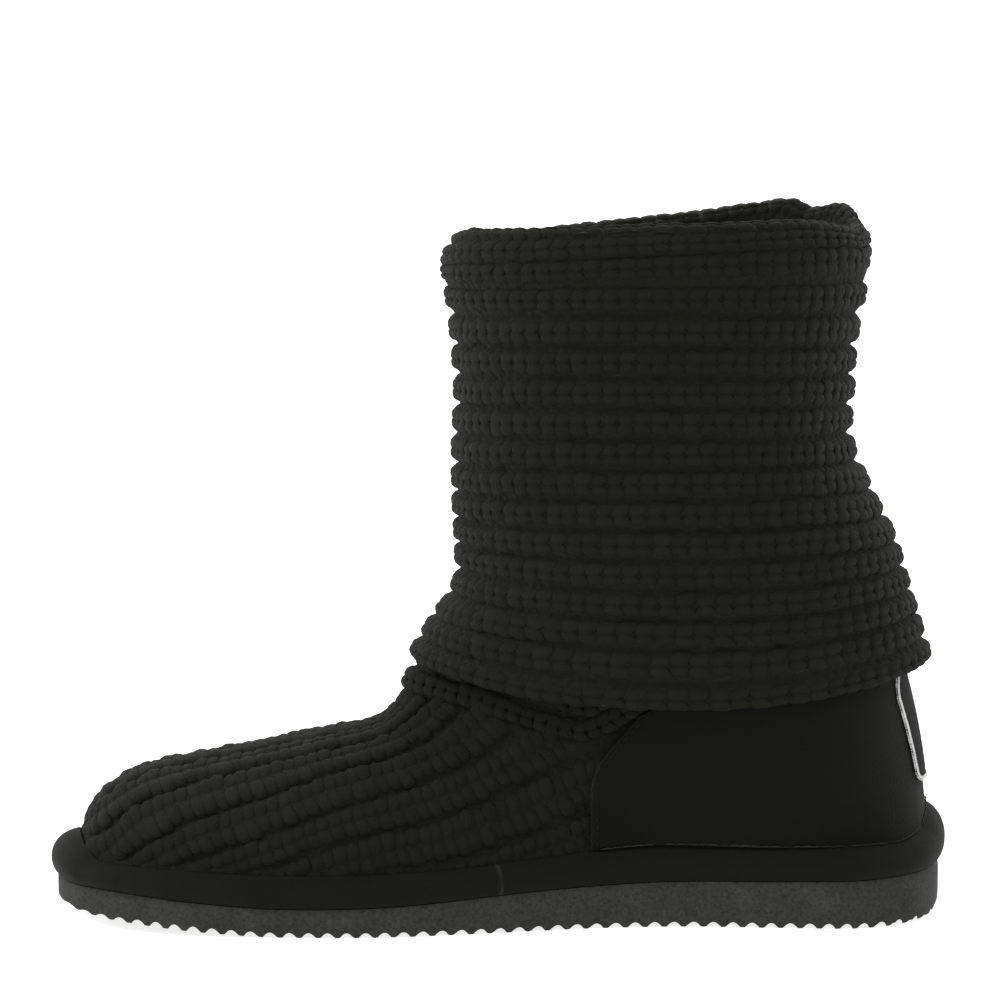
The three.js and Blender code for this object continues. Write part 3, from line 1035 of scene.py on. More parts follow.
@dataclass(frozen=True)
class PatchCloth(Finish):
    """Woven cloth of the plain heel patch.

    Args:
        pitch: Distance between threads, in millimetres.
    """

    name: str = "patch_cloth"
    dark: Colour = grey(0.0014, 0.15)
    light: Colour = grey(0.0042, 0.15)
    pitch: float = 0.62

    SURFACE = {"Roughness": 0.8, "Specular IOR Level": 0.08, "Sheen Weight": 0.02}

    def work(self, shader: Shader) -> None:
        """Weaves threads across and up the back of the heel.

        Args:
            shader: The material that is worked on.
        """
        axes = shader.node("ShaderNodeSeparateXYZ", inputs={0: shader.place})
        turns = 2 * math.pi / (self.pitch * MM)
        weft, warp = ((Signal(shader, axes.outputs[axis]) * turns).sine() for axis in "YZ")
        weave = weft * warp * 0.5 + 0.5
        fade = shader.noise(7)
        tint = shader.blend(weave * 0.7 + fade * 0.4 - 0.1, self.dark, self.light)
        shader.paint(Base_Color=tint, Roughness=0.7 + fade * 0.2)
        shader.relief(weave, 0.2)


@dataclass(frozen=True)
class Thread(Finish):
    """Twisted sewing thread.

    Args:
        twist: How far the twist turns along a stitch, in radians.
    """

    twist: float = 22.0

    SURFACE = {"Roughness": 0.7, "Specular IOR Level": 0.15}

    def work(self, shader: Shader) -> None:
        """Twists the thread along each stitch.

        Args:
            shader: The material that is worked on.
        """
        twist = (shader.attribute("yarn_along") * self.twist).sine() * 0.5 + 0.5
        share = twist * 0.5 + shader.attribute("tone") * 0.5
        shader.paint(Base_Color=shader.blend(share, self.dark, self.light), Roughness=0.6 + twist * 0.2)
        shader.relief(twist, 0.1)


@dataclass(frozen=True)
class Backdrop:
    """Plain pale glass of the studio floor, lit from below.

    Args:
        name: The material's name.
        colour: Its colour.
        glow: The colour of the light from below.
        strength: The strength of that light.
    """

    name: str = "backdrop"
    colour: Colour = grey(0.5, 0.004)
    glow: Colour = grey(1.0, 0.004)
    strength: float = 0.8

    def make(self) -> Material:
        """Builds the material.

        Returns:
            The material.
        """
        constants = {"Roughness": 1.0, "Specular IOR Level": 0.0, "Emission Strength": self.strength}
        shader = Shader(self.name, constants)
        shader.paint(Base_Color=self.colour, Emission_Color=self.glow)
        return shader.material


class Legs(Enum):
    """How many legs of yarn a stitch shows."""

    SINGLE = 1
    PAIR = 2


@dataclass(frozen=True)
class StitchShape:
    """One leg of a stitch, in millimetres: x along the row, y across it and z out of the cloth.

    Args:
        start: Where the leg leaves the cloth.
        bend: The point that pulls it into its arc.
        end: Where it goes back in.
        radius: Half the yarn's thickness.
        steps: Steps along the leg.
        sides: Sides round the yarn.
        wobble: The most that a stitch is turned, in radians.
        spread: The most that a stitch's size differs, as a share.
        wide: The yarn's width along the row, as a multiple of its thickness.
        pinch: How much narrower the yarn starts, as a share.
        taper: How much narrower it ends, as a share.
    """

    start: Triple
    bend: Triple
    end: Triple
    radius: float
    steps: int = 5
    sides: int = 7
    wobble: float = 0.06
    spread: float = 0.05
    wide: float = 1.0
    pinch: float = 0.3
    taper: float = 0.3

    @property
    def span(self) -> float:
        """How far the two legs reach across the row."""
        return 2 * (self.end[1] + self.radius * (1 - self.taper))

    def inputs(self) -> Settings:
        """The values that the stitch tree takes.

        Returns:
            Values by the names of its inputs: lengths in metres, before the yarn is widened along the row.
        """
        spots = {"Start": self.start, "Bend": self.bend, "End": self.end}
        values = {label: (x * MM / self.wide, y * MM, z * MM) for label, (x, y, z) in spots.items()}
        values["Radius"] = self.radius * MM
        for name in ("pinch", "taper", "steps", "sides", "wobble", "spread"):
            values[name.capitalize()] = getattr(self, name)
        return values


@dataclass
class StitchRun:
    """Stitches that are worked together.

    Args:
        groups: For each group of them, its places, directions along and out, and stretch.
    """

    groups: list[tuple[Array, ...]] = field(default_factory=list)

    GLANCE = 0.2

    def add(self, spots: Array, along: Array, out: Array, size: Array) -> None:
        """Adds stitches by their places, vectors along the row and out of the cloth, and stretch."""
        self.groups.append((spots, unit(along), unit(out), np.broadcast_to(size, spots.shape)))

    def add_line(self, line: Array, out: Array, pitch: float, size: Any = (1, 1, 1)) -> None:
        """Adds stitches at an even pitch along a line.

        Args:
            line: Points of the line in millimetres.
            out: Vectors out of the cloth at those points.
            pitch: The distance between stitches.
            size: Stretch along, across and out, for the whole line or for each of its points.
        """
        size = np.broadcast_to(size, line.shape)
        girth = lengths(line)
        count = round(girth[-1] / pitch)
        if count < 1:
            return
        at = (np.arange(count) + 0.5) * girth[-1] / count
        along = read(at + self.GLANCE, girth, line) - read(at - self.GLANCE, girth, line)
        self.add(read(at, girth, line), along, read(at, girth, out), read(at, girth, size))

    def cloud(self, name: str, wide: float) -> Piece:
        """A piece of bare points that carry the stitches' directions and stretch.

        Args:
            name: The piece's name.
            wide: One more stretch, along the row.

        Returns:
            The piece.
        """
        spots, along, out, size = (np.concatenate(parts) for parts in zip(*self.groups))
        mesh = bpy.data.meshes.new(name)
        mesh.from_pydata((spots * MM).tolist(), [], [])
        piece = bpy.data.objects.new(name, mesh)
        bpy.context.scene.collection.objects.link(piece)
        mark(piece, "along", along)
        mark(piece, "out", out)
        mark(piece, "size", size * np.array([wide, 1, 1]))
        return piece


class StitchTree(NodeTree):
    """Geometry Nodes that set one stitch of yarn on every point of a run.

    Args:
        name: The tree's name.
        legs: How many legs each stitch shows.
    """

    SOCKETS = {
        "Points": "Geometry", "Start": "Vector", "Bend": "Vector", "End": "Vector", "Radius": "Float",
        "Pinch": "Float", "Taper": "Float", "Steps": "Int", "Sides": "Int", "Wobble": "Float",
        "Spread": "Float", "Material": "Material",
    }
    TURN_SEED, SIZE_SEED, TONE_SEED = 11, 12, 13

    def __init__(self, name: str, legs: Legs) -> None:
        """Builds the tree: its inputs, its stitch and what sets it on the points."""
        super().__init__(bpy.data.node_groups.new(name, "GeometryNodeTree"))
        self.tree.is_modifier = True
        face = self.tree.interface
        for label, kind in self.SOCKETS.items():
            face.new_socket(name=label, in_out="INPUT", socket_type="NodeSocket" + kind)
        face.new_socket(name="Stitches", in_out="OUTPUT", socket_type="NodeSocketGeometry")
        outputs = self.node("NodeGroupInput").outputs
        self.given = {label: Signal(self, outputs[label]) for label in self.SOCKETS}
        stitch = self.leg(1.0)
        if legs is Legs.PAIR:
            join = self.node("GeometryNodeJoinGeometry")
            for leg in (self.leg(-1.0), stitch):
                self.feed(join.inputs[0], leg)
            stitch = Signal(self, join.outputs[0])
        self.node("NodeGroupOutput", inputs={0: self.spread_out(stitch)})

    def leg(self, side: float) -> Signal:
        """One leg of yarn.

        Args:
            side: 1 for the leg as given, -1 for its mirror image across the row.

        Returns:
            The mesh of the leg.
        """
        spots = {"Resolution": self.given["Steps"]}
        for label, key in (("Start", "Start"), ("Bend", "Middle"), ("End", "End")):
            mirror = {0: self.given[label], 1: (1.0, side, 1.0)}
            spots[key] = self.signal("ShaderNodeVectorMath", {"operation": "MULTIPLY"}, mirror)
        curve = self.signal("GeometryNodeCurveQuadraticBezier", inputs=spots)
        share = self.signal("GeometryNodeSplineParameter", output="Factor")
        girth = 1.0 - (1.0 - share) ** 3.0 * self.given["Pinch"] - share**4.0 * self.given["Taper"]
        sizes = {"Resolution": self.given["Sides"], "Radius": self.given["Radius"]}
        ring = self.signal("GeometryNodeCurvePrimitiveCircle", {"mode": "RADIUS"}, sizes)
        curve = self.store(curve, "yarn_along", share, "POINT")
        tube = {"Curve": curve, "Profile Curve": ring, "Scale": girth, "Fill Caps": True}
        return self.signal("GeometryNodeCurveToMesh", inputs=tube)

    def store(self, geometry: Signal, name: str, value: Signal, domain: str) -> Signal:
        """Stores a number under a name.

        Args:
            geometry: What it is stored on.
            name: The name.
            value: The number.
            domain: POINT or INSTANCE.

        Returns:
            The geometry that carries it.
        """
        settings = {"data_type": "FLOAT", "domain": domain}
        inputs = {"Geometry": geometry, "Name": name, "Value": value}
        return self.signal("GeometryNodeStoreNamedAttribute", settings, inputs)

    def random(self, low: Any, high: Any, kind: str, seed: int) -> Signal:
        """A fixed-seed random value for each point.

        Args:
            low: The least value.
            high: The greatest value.
            kind: FLOAT or FLOAT_VECTOR.
            seed: The seed.

        Returns:
            The value.
        """
        tail = "_001" if kind == "FLOAT" else ""
        inputs = {"Min" + tail: low, "Max" + tail: high, "Seed": seed}
        return self.signal("FunctionNodeRandomValue", {"data_type": kind}, inputs, "Value" + tail)

    def named(self, name: str) -> Signal:
        """A vector stored on the points."""
        settings = {"data_type": "FLOAT_VECTOR"}
        return self.signal("GeometryNodeInputNamedAttribute", settings, {"Name": name}, "Attribute")

    def spread_out(self, stitch: Signal) -> Signal:
        """Sets the stitch on the points and makes the result plain mesh.

        Args:
            stitch: The mesh of one stitch.

        Returns:
            The finished stitches.
        """
        wobble, spread = self.given["Wobble"], self.given["Spread"]
        axes = {"Primary Axis": self.named("along"), "Secondary Axis": self.named("out")}
        order = {"primary_axis": "X", "secondary_axis": "Z"}
        facing = self.signal("FunctionNodeAxesToRotation", order, axes)
        euler = self.random(wobble * -1.0, wobble, "FLOAT_VECTOR", self.TURN_SEED)
        turn = self.signal("FunctionNodeEulerToRotation", inputs={"Euler": euler})
        turns = {"Rotation": facing, "Rotate By": turn}
        turned = self.signal("FunctionNodeRotateRotation", {"rotation_space": "LOCAL"}, turns)
        factor = self.random(1.0 - spread, 1.0 + spread, "FLOAT", self.SIZE_SEED)
        scale = {0: self.named("size"), "Scale": factor}
        size = self.signal("ShaderNodeVectorMath", {"operation": "SCALE"}, scale)
        places = {"Points": self.given["Points"], "Instance": stitch, "Rotation": turned, "Scale": size}
        placed = self.signal("GeometryNodeInstanceOnPoints", inputs=places)
        tone = self.random(0.0, 1.0, "FLOAT", self.TONE_SEED)
        toned = self.store(placed, "tone", tone, "INSTANCE")
        plain = self.signal("GeometryNodeRealizeInstances", inputs={0: toned})
        smooth = self.signal("GeometryNodeSetShadeSmooth", inputs={0: plain})
        finish = {"Geometry": smooth, "Material": self.given["Material"]}
        return self.signal("GeometryNodeSetMaterial", inputs=finish)

    def work(
        self, name: str, run: StitchRun, shape: StitchShape, material: Material, slot: str, node: str
    ) -> Piece:
        """Works a run of stitches into a plain mesh piece and dresses it.

        Args:
            name: The piece's name.
            run: Where the stitches sit.
            shape: The stitch.
            material: Its finish.
            slot: A material slot's name, handed on to dress(), which doesn't use it.
            node: The CAD node that the stitches stand for.

        Returns:
            The piece.
        """
        piece = run.cloud(name, shape.wide)
        modifier = piece.modifiers.new("stitches", "NODES")
        modifier.node_group = self.tree
        values = shape.inputs() | {"Material": material}
        for item in self.tree.interface.items_tree:
            if item.in_out == "INPUT" and item.name in values:
                modifier[item.identifier] = values[item.name]
        bake(piece, modifier)
        for label in ("along", "size"):
            piece.data.attributes.remove(piece.data.attributes[label])
        return dress(piece, material, slot, node)


@dataclass
class Workshop:
    """The stitch trees that the sub-assemblies share.

    Args:
        knit: Two-legged stitches of yarn.
        sewing: Single stitches of thread.
    """

    knit: StitchTree
    sewing: StitchTree


@dataclass
class Outsole:
    """Moulded wedge of foam rubber with a rippled tread.

    Args:
        finish: Its material.
        pitch: Distance between ripples.
        land: Flat part of each ripple.
        depth: Depth of the grooves.
        mouth: Their depth where they come out at the sides.
        power: How round the grooves are: the lower, the fuller.
        first: Where the first ripple starts.
        toe_x: Where the grooves begin to get deeper.
        toe_run: The length over which they do.
        toe_depth: Their depth before it, as a share.
        lip: How far the top edge draws in.
        sharp: The angle from which edges are shaded sharp, in degrees.
        stations: Cuts along the length.
        levels: Points up each side wall.
        across: Points across the tread.
    """

    finish: Material
    pitch: float = 5.7
    land: float = 1.6
    depth: float = 1.15
    mouth: float = 1.7
    power: float = 0.8
    first: float = -139.65
    toe_x: float = -131.0
    toe_run: float = 30.0
    toe_depth: float = 0.25
    lip: float = 0.5
    sharp: float = 40.0
    stations: int = 640
    levels: int = 8
    across: int = 9

    LIP_LEVEL = 0.06
    TREAD_EDGE = (0.06, 0.12)
    TOP_LINES = (0.25, 0.5, 0.75)

    def tread(self, x: Array, depth: float) -> Array:
        """Height of the underside along the length, with its toe spring and round grooves.

        Args:
            x: Places along the length.
            depth: Depth of the grooves.

        Returns:
            Heights in millimetres.
        """
        phase = np.mod(x - self.first, self.pitch)
        share = np.clip((phase - self.land) / (self.pitch - self.land), 0, 1)
        floor = np.maximum(SIDE_LINES.along("floor", x), 0)
        fade = lerp(self.toe_depth, 1.0, np.clip((x - self.toe_x) / self.toe_run, 0, 1))
        return floor + depth * fade * np.sin(math.pi * share) ** self.power

    def wall(self, points: Array, inward: Array) -> list[Array]:
        """One side wall.

        Args:
            points: The outline along that side.
            inward: Unit vectors straight in from it.

        Returns:
            Lines of points along the wall, from its top down to the tread.
        """
        low = self.tread(points[:, 0], self.mouth)
        high = SIDE_LINES.along("sole_top", points[:, 0])
        lines = []
        for level in np.linspace(1, 0, self.levels):
            z = lerp(low, high, level)
            inset = SOLE_EDGE.along("inset", z) + self.lip * dent(level - 1, self.LIP_LEVEL)
            lines.append(np.column_stack([points + inward * inset[:, None], z]))
        return lines

    def build(self) -> list[Piece]:
        """Lofts the wedge along its length.

        Returns:
            The outsole piece.
        """
        x = -LENGTH / 2 * np.cos(np.linspace(0, math.pi, self.stations))
        near, far = (self.wall(*side) for side in SOLE.sides(x))
        edge, start = self.TREAD_EDGE
        shares = np.concatenate([[edge], np.linspace(start, 1 - start, self.across), [1 - edge]])
        low = [lerp(near[-1], far[-1], share) for share in shares]
        for line in low:
            line[:, 2] = self.tread(line[:, 0], self.depth)
        top = [lerp(far[0], near[0], share) for share in self.TOP_LINES]
        ring = np.stack(near + low + far[::-1] + top, axis=1)
        piece = mesh_piece("outsole_wedge", ring, grid_faces(*ring.shape[:2], wrap=True))
        piece.data.set_sharp_from_angle(angle=math.radians(self.sharp))
        return [dress(piece, self.finish, "foam_rubber", "outsole")]


@dataclass
class Rand:
    """Suede-covered padded roll round the foot, with a joined end and a sewn line at the heel.

    Args:
        finish: Its suede.
        thread: The thread of the sewn line.
        shop: The stitch trees.
        joint_x: Where its two ends are joined, on the inner side.
        sewn_x: Where the sewn line starts.
        spans: Spans in which the sewn line shows.
        shown: The part of each span that shows.
        pitch: Distance between the line's stitches.
        columns: Cuts round the outline.
        rows: Points over the roll.
    """

    finish: Material
    thread: Material
    shop: Workshop
    joint_x: float = 2.0
    sewn_x: float = 31.0
    spans: int = 14
    shown: float = 0.84
    pitch: float = 3.2
    columns: int = 720
    rows: int = 22

    LAST_ROW = 6.6
    RAY = 24.0
    NO_KNIT = 12.0
    SEWN = StitchShape(
        start=(-1.5, 0, -0.2), bend=(0, 0.1, 0.4), end=(1.5, 0, -0.2),
        radius=0.28, sides=6, wobble=0.04, spread=0.12,
    )
    CREASES = Table(
        ("x", "side", "width", "depth"),
        (
            (-124, -1, 3.2, 0.5), (-112, -1, 2.4, 0.4), (-87, -1, 6, 0.3), (-40, -1, 5, 0.35),
            (-9, -1, 4, 0.4), (31, -1, 5, 0.4), (66, -1, 7, 0.3), (101, -1, 6, 0.4), (-118, 1, 3, 0.5),
            (-70, 1, 6, 0.3), (-20, 1, 5, 0.4), (24, 1, 4, 0.4), (70, 1, 6, 0.3), (112, 1, 5, 0.4),
        ),
    )

    def build(self) -> list[Piece]:
        """Rolls the rand round the outline, up to the knit.

        Returns:
            The rand and its sewn line.
        """
        flat, inward = SOLE.even(self.columns)
        tree = FOOT.tree(SEAT_GAP)
        low = SIDE_LINES.along("sole_top", flat[:, 0]) + SEAT_GAP
        high = SIDE_LINES.along("rand_top", flat[:, 0])
        section = RAND_SECTION.at(np.linspace(0, self.LAST_ROW, self.rows))
        sink = np.zeros(self.columns)
        for x, side, width, depth in self.CREASES.rows:
            sink += depth * dent(flat[:, 0] - x, width) * (np.sign(flat[:, 1]) == side)
        rows, pale_mark = [], []
        for rise, inset in zip(section["rise"], section["inset"]):
            z = lerp(low, high, rise)
            joint, pale_strip = self.joint(flat, rise)
            wanted = inset + (sink + joint) * np.sin(math.pi * min(rise, 1.0))
            inset = np.minimum(wanted, self.reach(tree, flat, inward, z))
            rows.append(np.column_stack([flat + inward * inset[:, None], z]))
            pale_mark.append(pale_strip)
        for rise in (1.0, 0.5, 0.0):
            z = lerp(low, high, rise)
            inset = self.reach(tree, flat, inward, z)
            rows.append(np.column_stack([flat + inward * inset[:, None], z]))
            pale_mark.append(np.zeros(self.columns))
        ring = np.stack(rows, axis=0)
        roll = mesh_piece("rand_roll", ring, grid_faces(*ring.shape[:2], wrap=True, loop=True))
        mark(roll, "pale_mark", np.stack(pale_mark).ravel())
        mark(roll, "out", np.broadcast_to(np.pad(-inward, ((0, 0), (0, 1))), ring.shape))
        dress(roll, self.finish, "suede", "rand")
        return [roll, self.sewn_line(flat, inward, high)]

    def joint(self, flat: Array, rise: float) -> tuple[Array, Array]:
        """The bowed joint of the rand's two ends.

        Args:
            flat: Points of the outline.
            rise: A share of the rand's height.

        Returns:
            How deep the rand lies there, and how strongly a paler strip shows beside it.
        """
        bow, deep, swell, pale_strip = 1.6, 0.8, 0.35, 0.5
        inner = flat[:, 1] < 0
        away = flat[:, 0] - self.joint_x + bow * (rise - 0.5) ** 2
        lips = dent(away - 1.5, 0.8) + dent(away + 1.5, 0.8)
        # beside the joint, a narrow strip is painted paler
        return inner * (deep * dent(away, 0.7) - swell * lips), inner * dent(away + 0.9, 0.34) * pale_strip

    def reach(self, tree: BVHTree, flat: Array, inward: Array, z: Array) -> Array:
        """Distances from the outline straight in to the knit, at heights z."""
        heading = np.pad(inward, ((0, 0), (0, 1)))
        return distances(tree, np.column_stack([flat, z]), heading, self.RAY, self.NO_KNIT)

    def sewn_line(self, flat: Array, inward: Array, high: Array) -> Piece:
        """The line of long stitches that ties the counter to the rand.

        Args:
            flat: Points of the outline.
            inward: Unit vectors straight in at those points.
            high: Heights of the rand's top there.

        Returns:
            The stitches.
        """
        stand, probe, lift, lean = 2.2, 0.6, 0.3, 0.8
        back = np.nonzero(flat[:, 0] > self.sewn_x)[0]
        flat, inward, high = flat[back], inward[back], high[back]
        inset = self.reach(FOOT.tree(stand), flat, inward, high + probe)
        line = np.column_stack([flat + inward * inset[:, None], high + lift])
        out = np.column_stack([-inward * lean, np.full(len(back), math.sqrt(1 - lean**2))])
        run = StitchRun()
        for span in np.array_split(np.arange(len(line)), self.spans):
            shown = span[: round(len(span) * self.shown)]
            run.add_line(line[shown], out[shown], self.pitch)
        return self.shop.sewing.work("rand_stitches", run, self.SEWN, self.thread, "suede", "rand")


@dataclass
class Insole:
    """Fleece footbed on the outsole.

    Args:
        finish: Its material.
        thickness: Its thickness.
        toe: Where it starts.
        heel: Where it ends.
        inside: How far inside the knit's face its edge lies.
        lift: How far it lies clear of the outsole.
        rounded: Width of its rounded edge.
        power: How full that edge is: the lower, the fuller.
        stations: Cuts along the length.
        across: Points from edge to edge.
    """

    finish: Material
    thickness: float = 5.0
    toe: float = -118.0
    heel: float = 121.0
    inside: float = 3.5
    lift: float = 0.3
    rounded: float = 4.0
    power: float = 0.45
    stations: int = 90
    across: int = 31

    PROBE = 2.4
    RAY = 80.0
    TIP = 1.0
    DISHES = Table(("x", "width", "depth"), ((78, 30, 0.8), (-52, 34, 0.6)))
    WAVES = Table(("along", "across", "depth"), ((0.9, 0.4, 0.16), (0.33, -0.7, 0.14)))

    def build(self) -> list[Piece]:
        """Fits the footbed to the inside of the knit.

        Returns:
            The footbed.
        """
        x = np.linspace(self.toe, self.heel, self.stations)
        low = SIDE_LINES.along("sole_top", x) + SEAT_GAP + self.lift
        near, far = (self.edge_line(x, low + self.PROBE, side) for side in (-1, 1))
        share = np.linspace(0, 1, self.across)
        wide = (far - near)[:, None]
        y = near[:, None] + wide * share
        away = np.minimum(np.minimum(share, 1 - share) * wide, np.minimum(x - x[0], x[-1] - x)[:, None])
        x, low = (np.broadcast_to(line[:, None], y.shape) for line in (x, low))
        dish = sum(depth * dent(x - middle, width) for middle, width, depth in self.DISHES.rows)
        rough = sum(depth * np.sin(x * along + y * across) for along, across, depth in self.WAVES.rows)
        height = (self.thickness - dish + rough) * np.clip(away / self.rounded, 0, 1) ** self.power
        upper = np.stack([x, y, low + height], axis=-1)
        lower = np.stack([x, y, low], axis=-1)[:, ::-1]
        ring = np.concatenate([upper, lower], axis=1)
        piece = mesh_piece("insole_pad", ring, grid_faces(*ring.shape[:2], wrap=True))
        dress(piece, self.finish, "felt", "insole")
        return [piece]

    def edge_line(self, x: Array, z: Array, side: int) -> Array:
        """Where the inside of the knit lies on one side.

        Args:
            x: Places along the boot.
            z: Heights.
            side: -1 for the inner side, 1 for the outer one.

        Returns:
            The y of each place, a narrow tip where there is no knit.
        """
        starts = np.column_stack([x, np.zeros_like(x), z])
        heading = np.broadcast_to((0.0, side, 0.0), starts.shape)
        return side * distances(FOOT.tree(-self.inside), starts, heading, self.RAY, self.TIP)


@dataclass
class Upper:
    """Knit vamp and quarters, with ribs that run along the foot.

    Args:
        yarn: The finish of its stitches.
        ground: The finish of the cloth under them.
        shop: The stitch trees.
        stitch: Distance between stitches along a rib.
        valley: Width of the valleys between ribs.
        wall: Thickness of the ground cloth.
        rand_sink: How deep the ground lies along the rand.
        rand_band: Height of the band in which it does.
        seam_sink: How much deeper it lies above the ankle seam.
        tucked: How far the ribs run on under rand and counter.
        overlap: How far they run on over the ankle seam.
        narrowest: The least stretch of a stitch across its rib.
        rows: Rings of the ground.
        columns: Points of the ground on each side.
    """

    yarn: Material
    ground: Material
    shop: Workshop
    stitch: float = 3.7
    valley: float = 1.6
    wall: float = 1.6
    rand_sink: float = 0.6
    rand_band: float = 2.2
    seam_sink: float = 1.3
    tucked: float = 6.0
    overlap: float = 4.5
    narrowest: float = 0.4
    rows: int = 150
    columns: int = 96

    SHAPE = StitchShape(
        start=(-0.4, -0.1, -1.9), bend=(-0.1, 2.6, 0.2), end=(0.5, 2.7, -4.2),
        radius=1.25, wobble=0.1, spread=0.09, wide=2.12, pinch=0.4,
    )
    HEART = (-60.0, 0.0, 25.0)
    CLOTH_RINGS = (0, 13.2)
    RIB_RINGS = (0.12, 13)
    RIB_STEPS = 620
    EDGE_ANGLES, CLOTH_ANGLES, RIB_ANGLES = 1600, 1200, 1500
    HEM = 1.5
    SEAM_TUCK = 0.7
    HIDDEN_RIBS = 10
    HIDDEN_RIB = 12.0
    HEEL_ANGLE = 3.1
    SHORTEST_RIB = 3

    def build(self) -> list[Piece]:
        """Works the ground cloth and then its stitches."""
        return [self.cloth(), self.stitches()]

    def lower_angle(self, place: Array, side: float) -> Array:
        """The angle at which each ring meets the top of the outsole.

        Args:
            place: Places counted in rings.
            side: -1 for the inner side, 1 for the outer one.

        Returns:
            Angles from 0, half a turn at the heel.
        """
        angle = np.linspace(0, math.pi, self.EDGE_ANGLES)
        points = FOOT.point(place[:, None], side * angle[None, :])
        under = points[..., 2] < SIDE_LINES.along("sole_top", points[..., 0]) + SEAT_GAP
        return np.where(under.any(axis=1), angle[np.argmax(under, axis=1)], math.pi)

    @staticmethod
    def valleys(place: Array) -> Array:
        """Lengths along each ring from its top to the valleys between ribs."""
        row = VAMP_RIBS.at(place)
        return np.stack([row[name] for name in VAMP_RIBS.columns], axis=-1)

    @staticmethod
    def girths(place: Array, angle: Array) -> Array:
        """Length along each ring from its top to each angle."""
        return lengths(FOOT.point(place[:, None], angle[None, :]), axis=1)

    @classmethod
    def phases(cls, girths: Array, valleys: Array) -> Array:
        """Places across the ribs, whole numbers being the valleys.

        Args:
            girths: Lengths along each ring from its top.
            valleys: The valleys' lengths on each ring.

        Returns:
            One number for each length, one half at the top of the ring.
        """
        known = valleys.shape[1]
        count = np.concatenate([[0.5], np.arange(1, known + 1), [known + cls.HIDDEN_RIBS]])
        hidden = valleys[:, -1:] + cls.HIDDEN_RIBS * cls.HIDDEN_RIB
        ends = np.concatenate([np.zeros((len(valleys), 1)), valleys, hidden], axis=1)
        return np.array([np.interp(row, end, count) for row, end in zip(girths, ends)])

    def cloth(self) -> Piece:
        """The hollow ground cloth, ribbed outside, open underneath and at the ankle.

        Returns:
            The cloth.
        """
        place = np.linspace(*self.CLOTH_RINGS, self.rows)
        fine = np.linspace(0, math.pi, self.CLOTH_ANGLES)
        grid = []
        outer = np.linspace(0, 1, self.columns)
        inner = np.linspace(-1, 0, self.columns)[:-1]
        for side, shares in ((-1, inner), (1, outer)):
            lower = self.lower_angle(place, side)
            phase = self.phases(self.girths(place, side * fine), self.valleys(place))
            for share in shares:
                angle = share * lower
                ribs = np.array([np.interp(abs(turn), fine, row) for turn, row in zip(angle, phase)])
                grid.append(FOOT.shell(place, angle, -self.sink(place, angle, ribs)))
        sheet = np.stack(grid, axis=1)
        faces = np.array(grid_faces(*sheet.shape[:2]))
        middle = sheet.reshape(-1, 3)[faces].mean(axis=1)
        kept = middle[:, 2] < ANKLE_SEAM.along("z", middle[:, 0]) + self.HEM
        piece = mesh_piece("upper_cloth", sheet, faces[kept].tolist())
        face_out(piece, self.HEART)
        thicken(piece, self.wall)
        return dress(piece, self.ground, "knit", "upper")

    def sink(self, place: Array, angle: Array, ribs: Array) -> Array:
        """How deep the ground lies inside the form.

        Args:
            place: Places counted in rings.
            angle: Angles round them.
            ribs: Places across the ribs.

        Returns:
            Depths in millimetres, shallow along the rand and deep above the ankle seam.
        """
        points = FOOT.point(place, angle)
        over = points[:, 2] - ANKLE_SEAM.along("z", points[:, 0])
        reach = (RAND_REACH + 2) * unit(FOOT.normal(place, angle)[:, :2])[:, 0]
        above = points[:, 2] - SIDE_LINES.along("rand_top", points[:, 0] + reach)
        depth = lerp(self.rand_sink, rib_sink(ribs), np.clip(above / self.rand_band, 0, 1))
        return depth + self.seam_sink * np.clip(over / 2 + 1, 0, 1)

    def stitches(self) -> Piece:
        """Rows of stitches along the foot.

        Returns:
            The stitches.
        """
        run = StitchRun()
        place = np.linspace(*self.RIB_RINGS, self.RIB_STEPS)
        angle = np.linspace(0, math.pi, self.RIB_ANGLES)
        valleys = self.valleys(place)
        middles = (valleys[:, 1:] + valleys[:, :-1]) / 2
        crown = []
        for side in (-1, 1):
            girths = self.girths(place, side * angle)
            edges, lines = (side * self.turns(part, girths, angle) for part in (valleys, middles))
            for turns in zip(edges[:-1], lines, edges[1:]):
                self.rib(run, place, turns)
            crown.append(edges[0])
        self.rib(run, place, (crown[0], np.zeros(len(place)), crown[1]))
        return self.shop.knit.work("upper_stitches", run, self.SHAPE, self.yarn, "knit", "upper")

    @staticmethod
    def turns(away: Array, girths: Array, angle: Array) -> Array:
        """A row of angles for each column of lengths, measured along each ring from its top."""
        rings = [[np.interp(spot, row, angle) for spot, row in zip(line, girths)] for line in away.T]
        return np.array(rings)

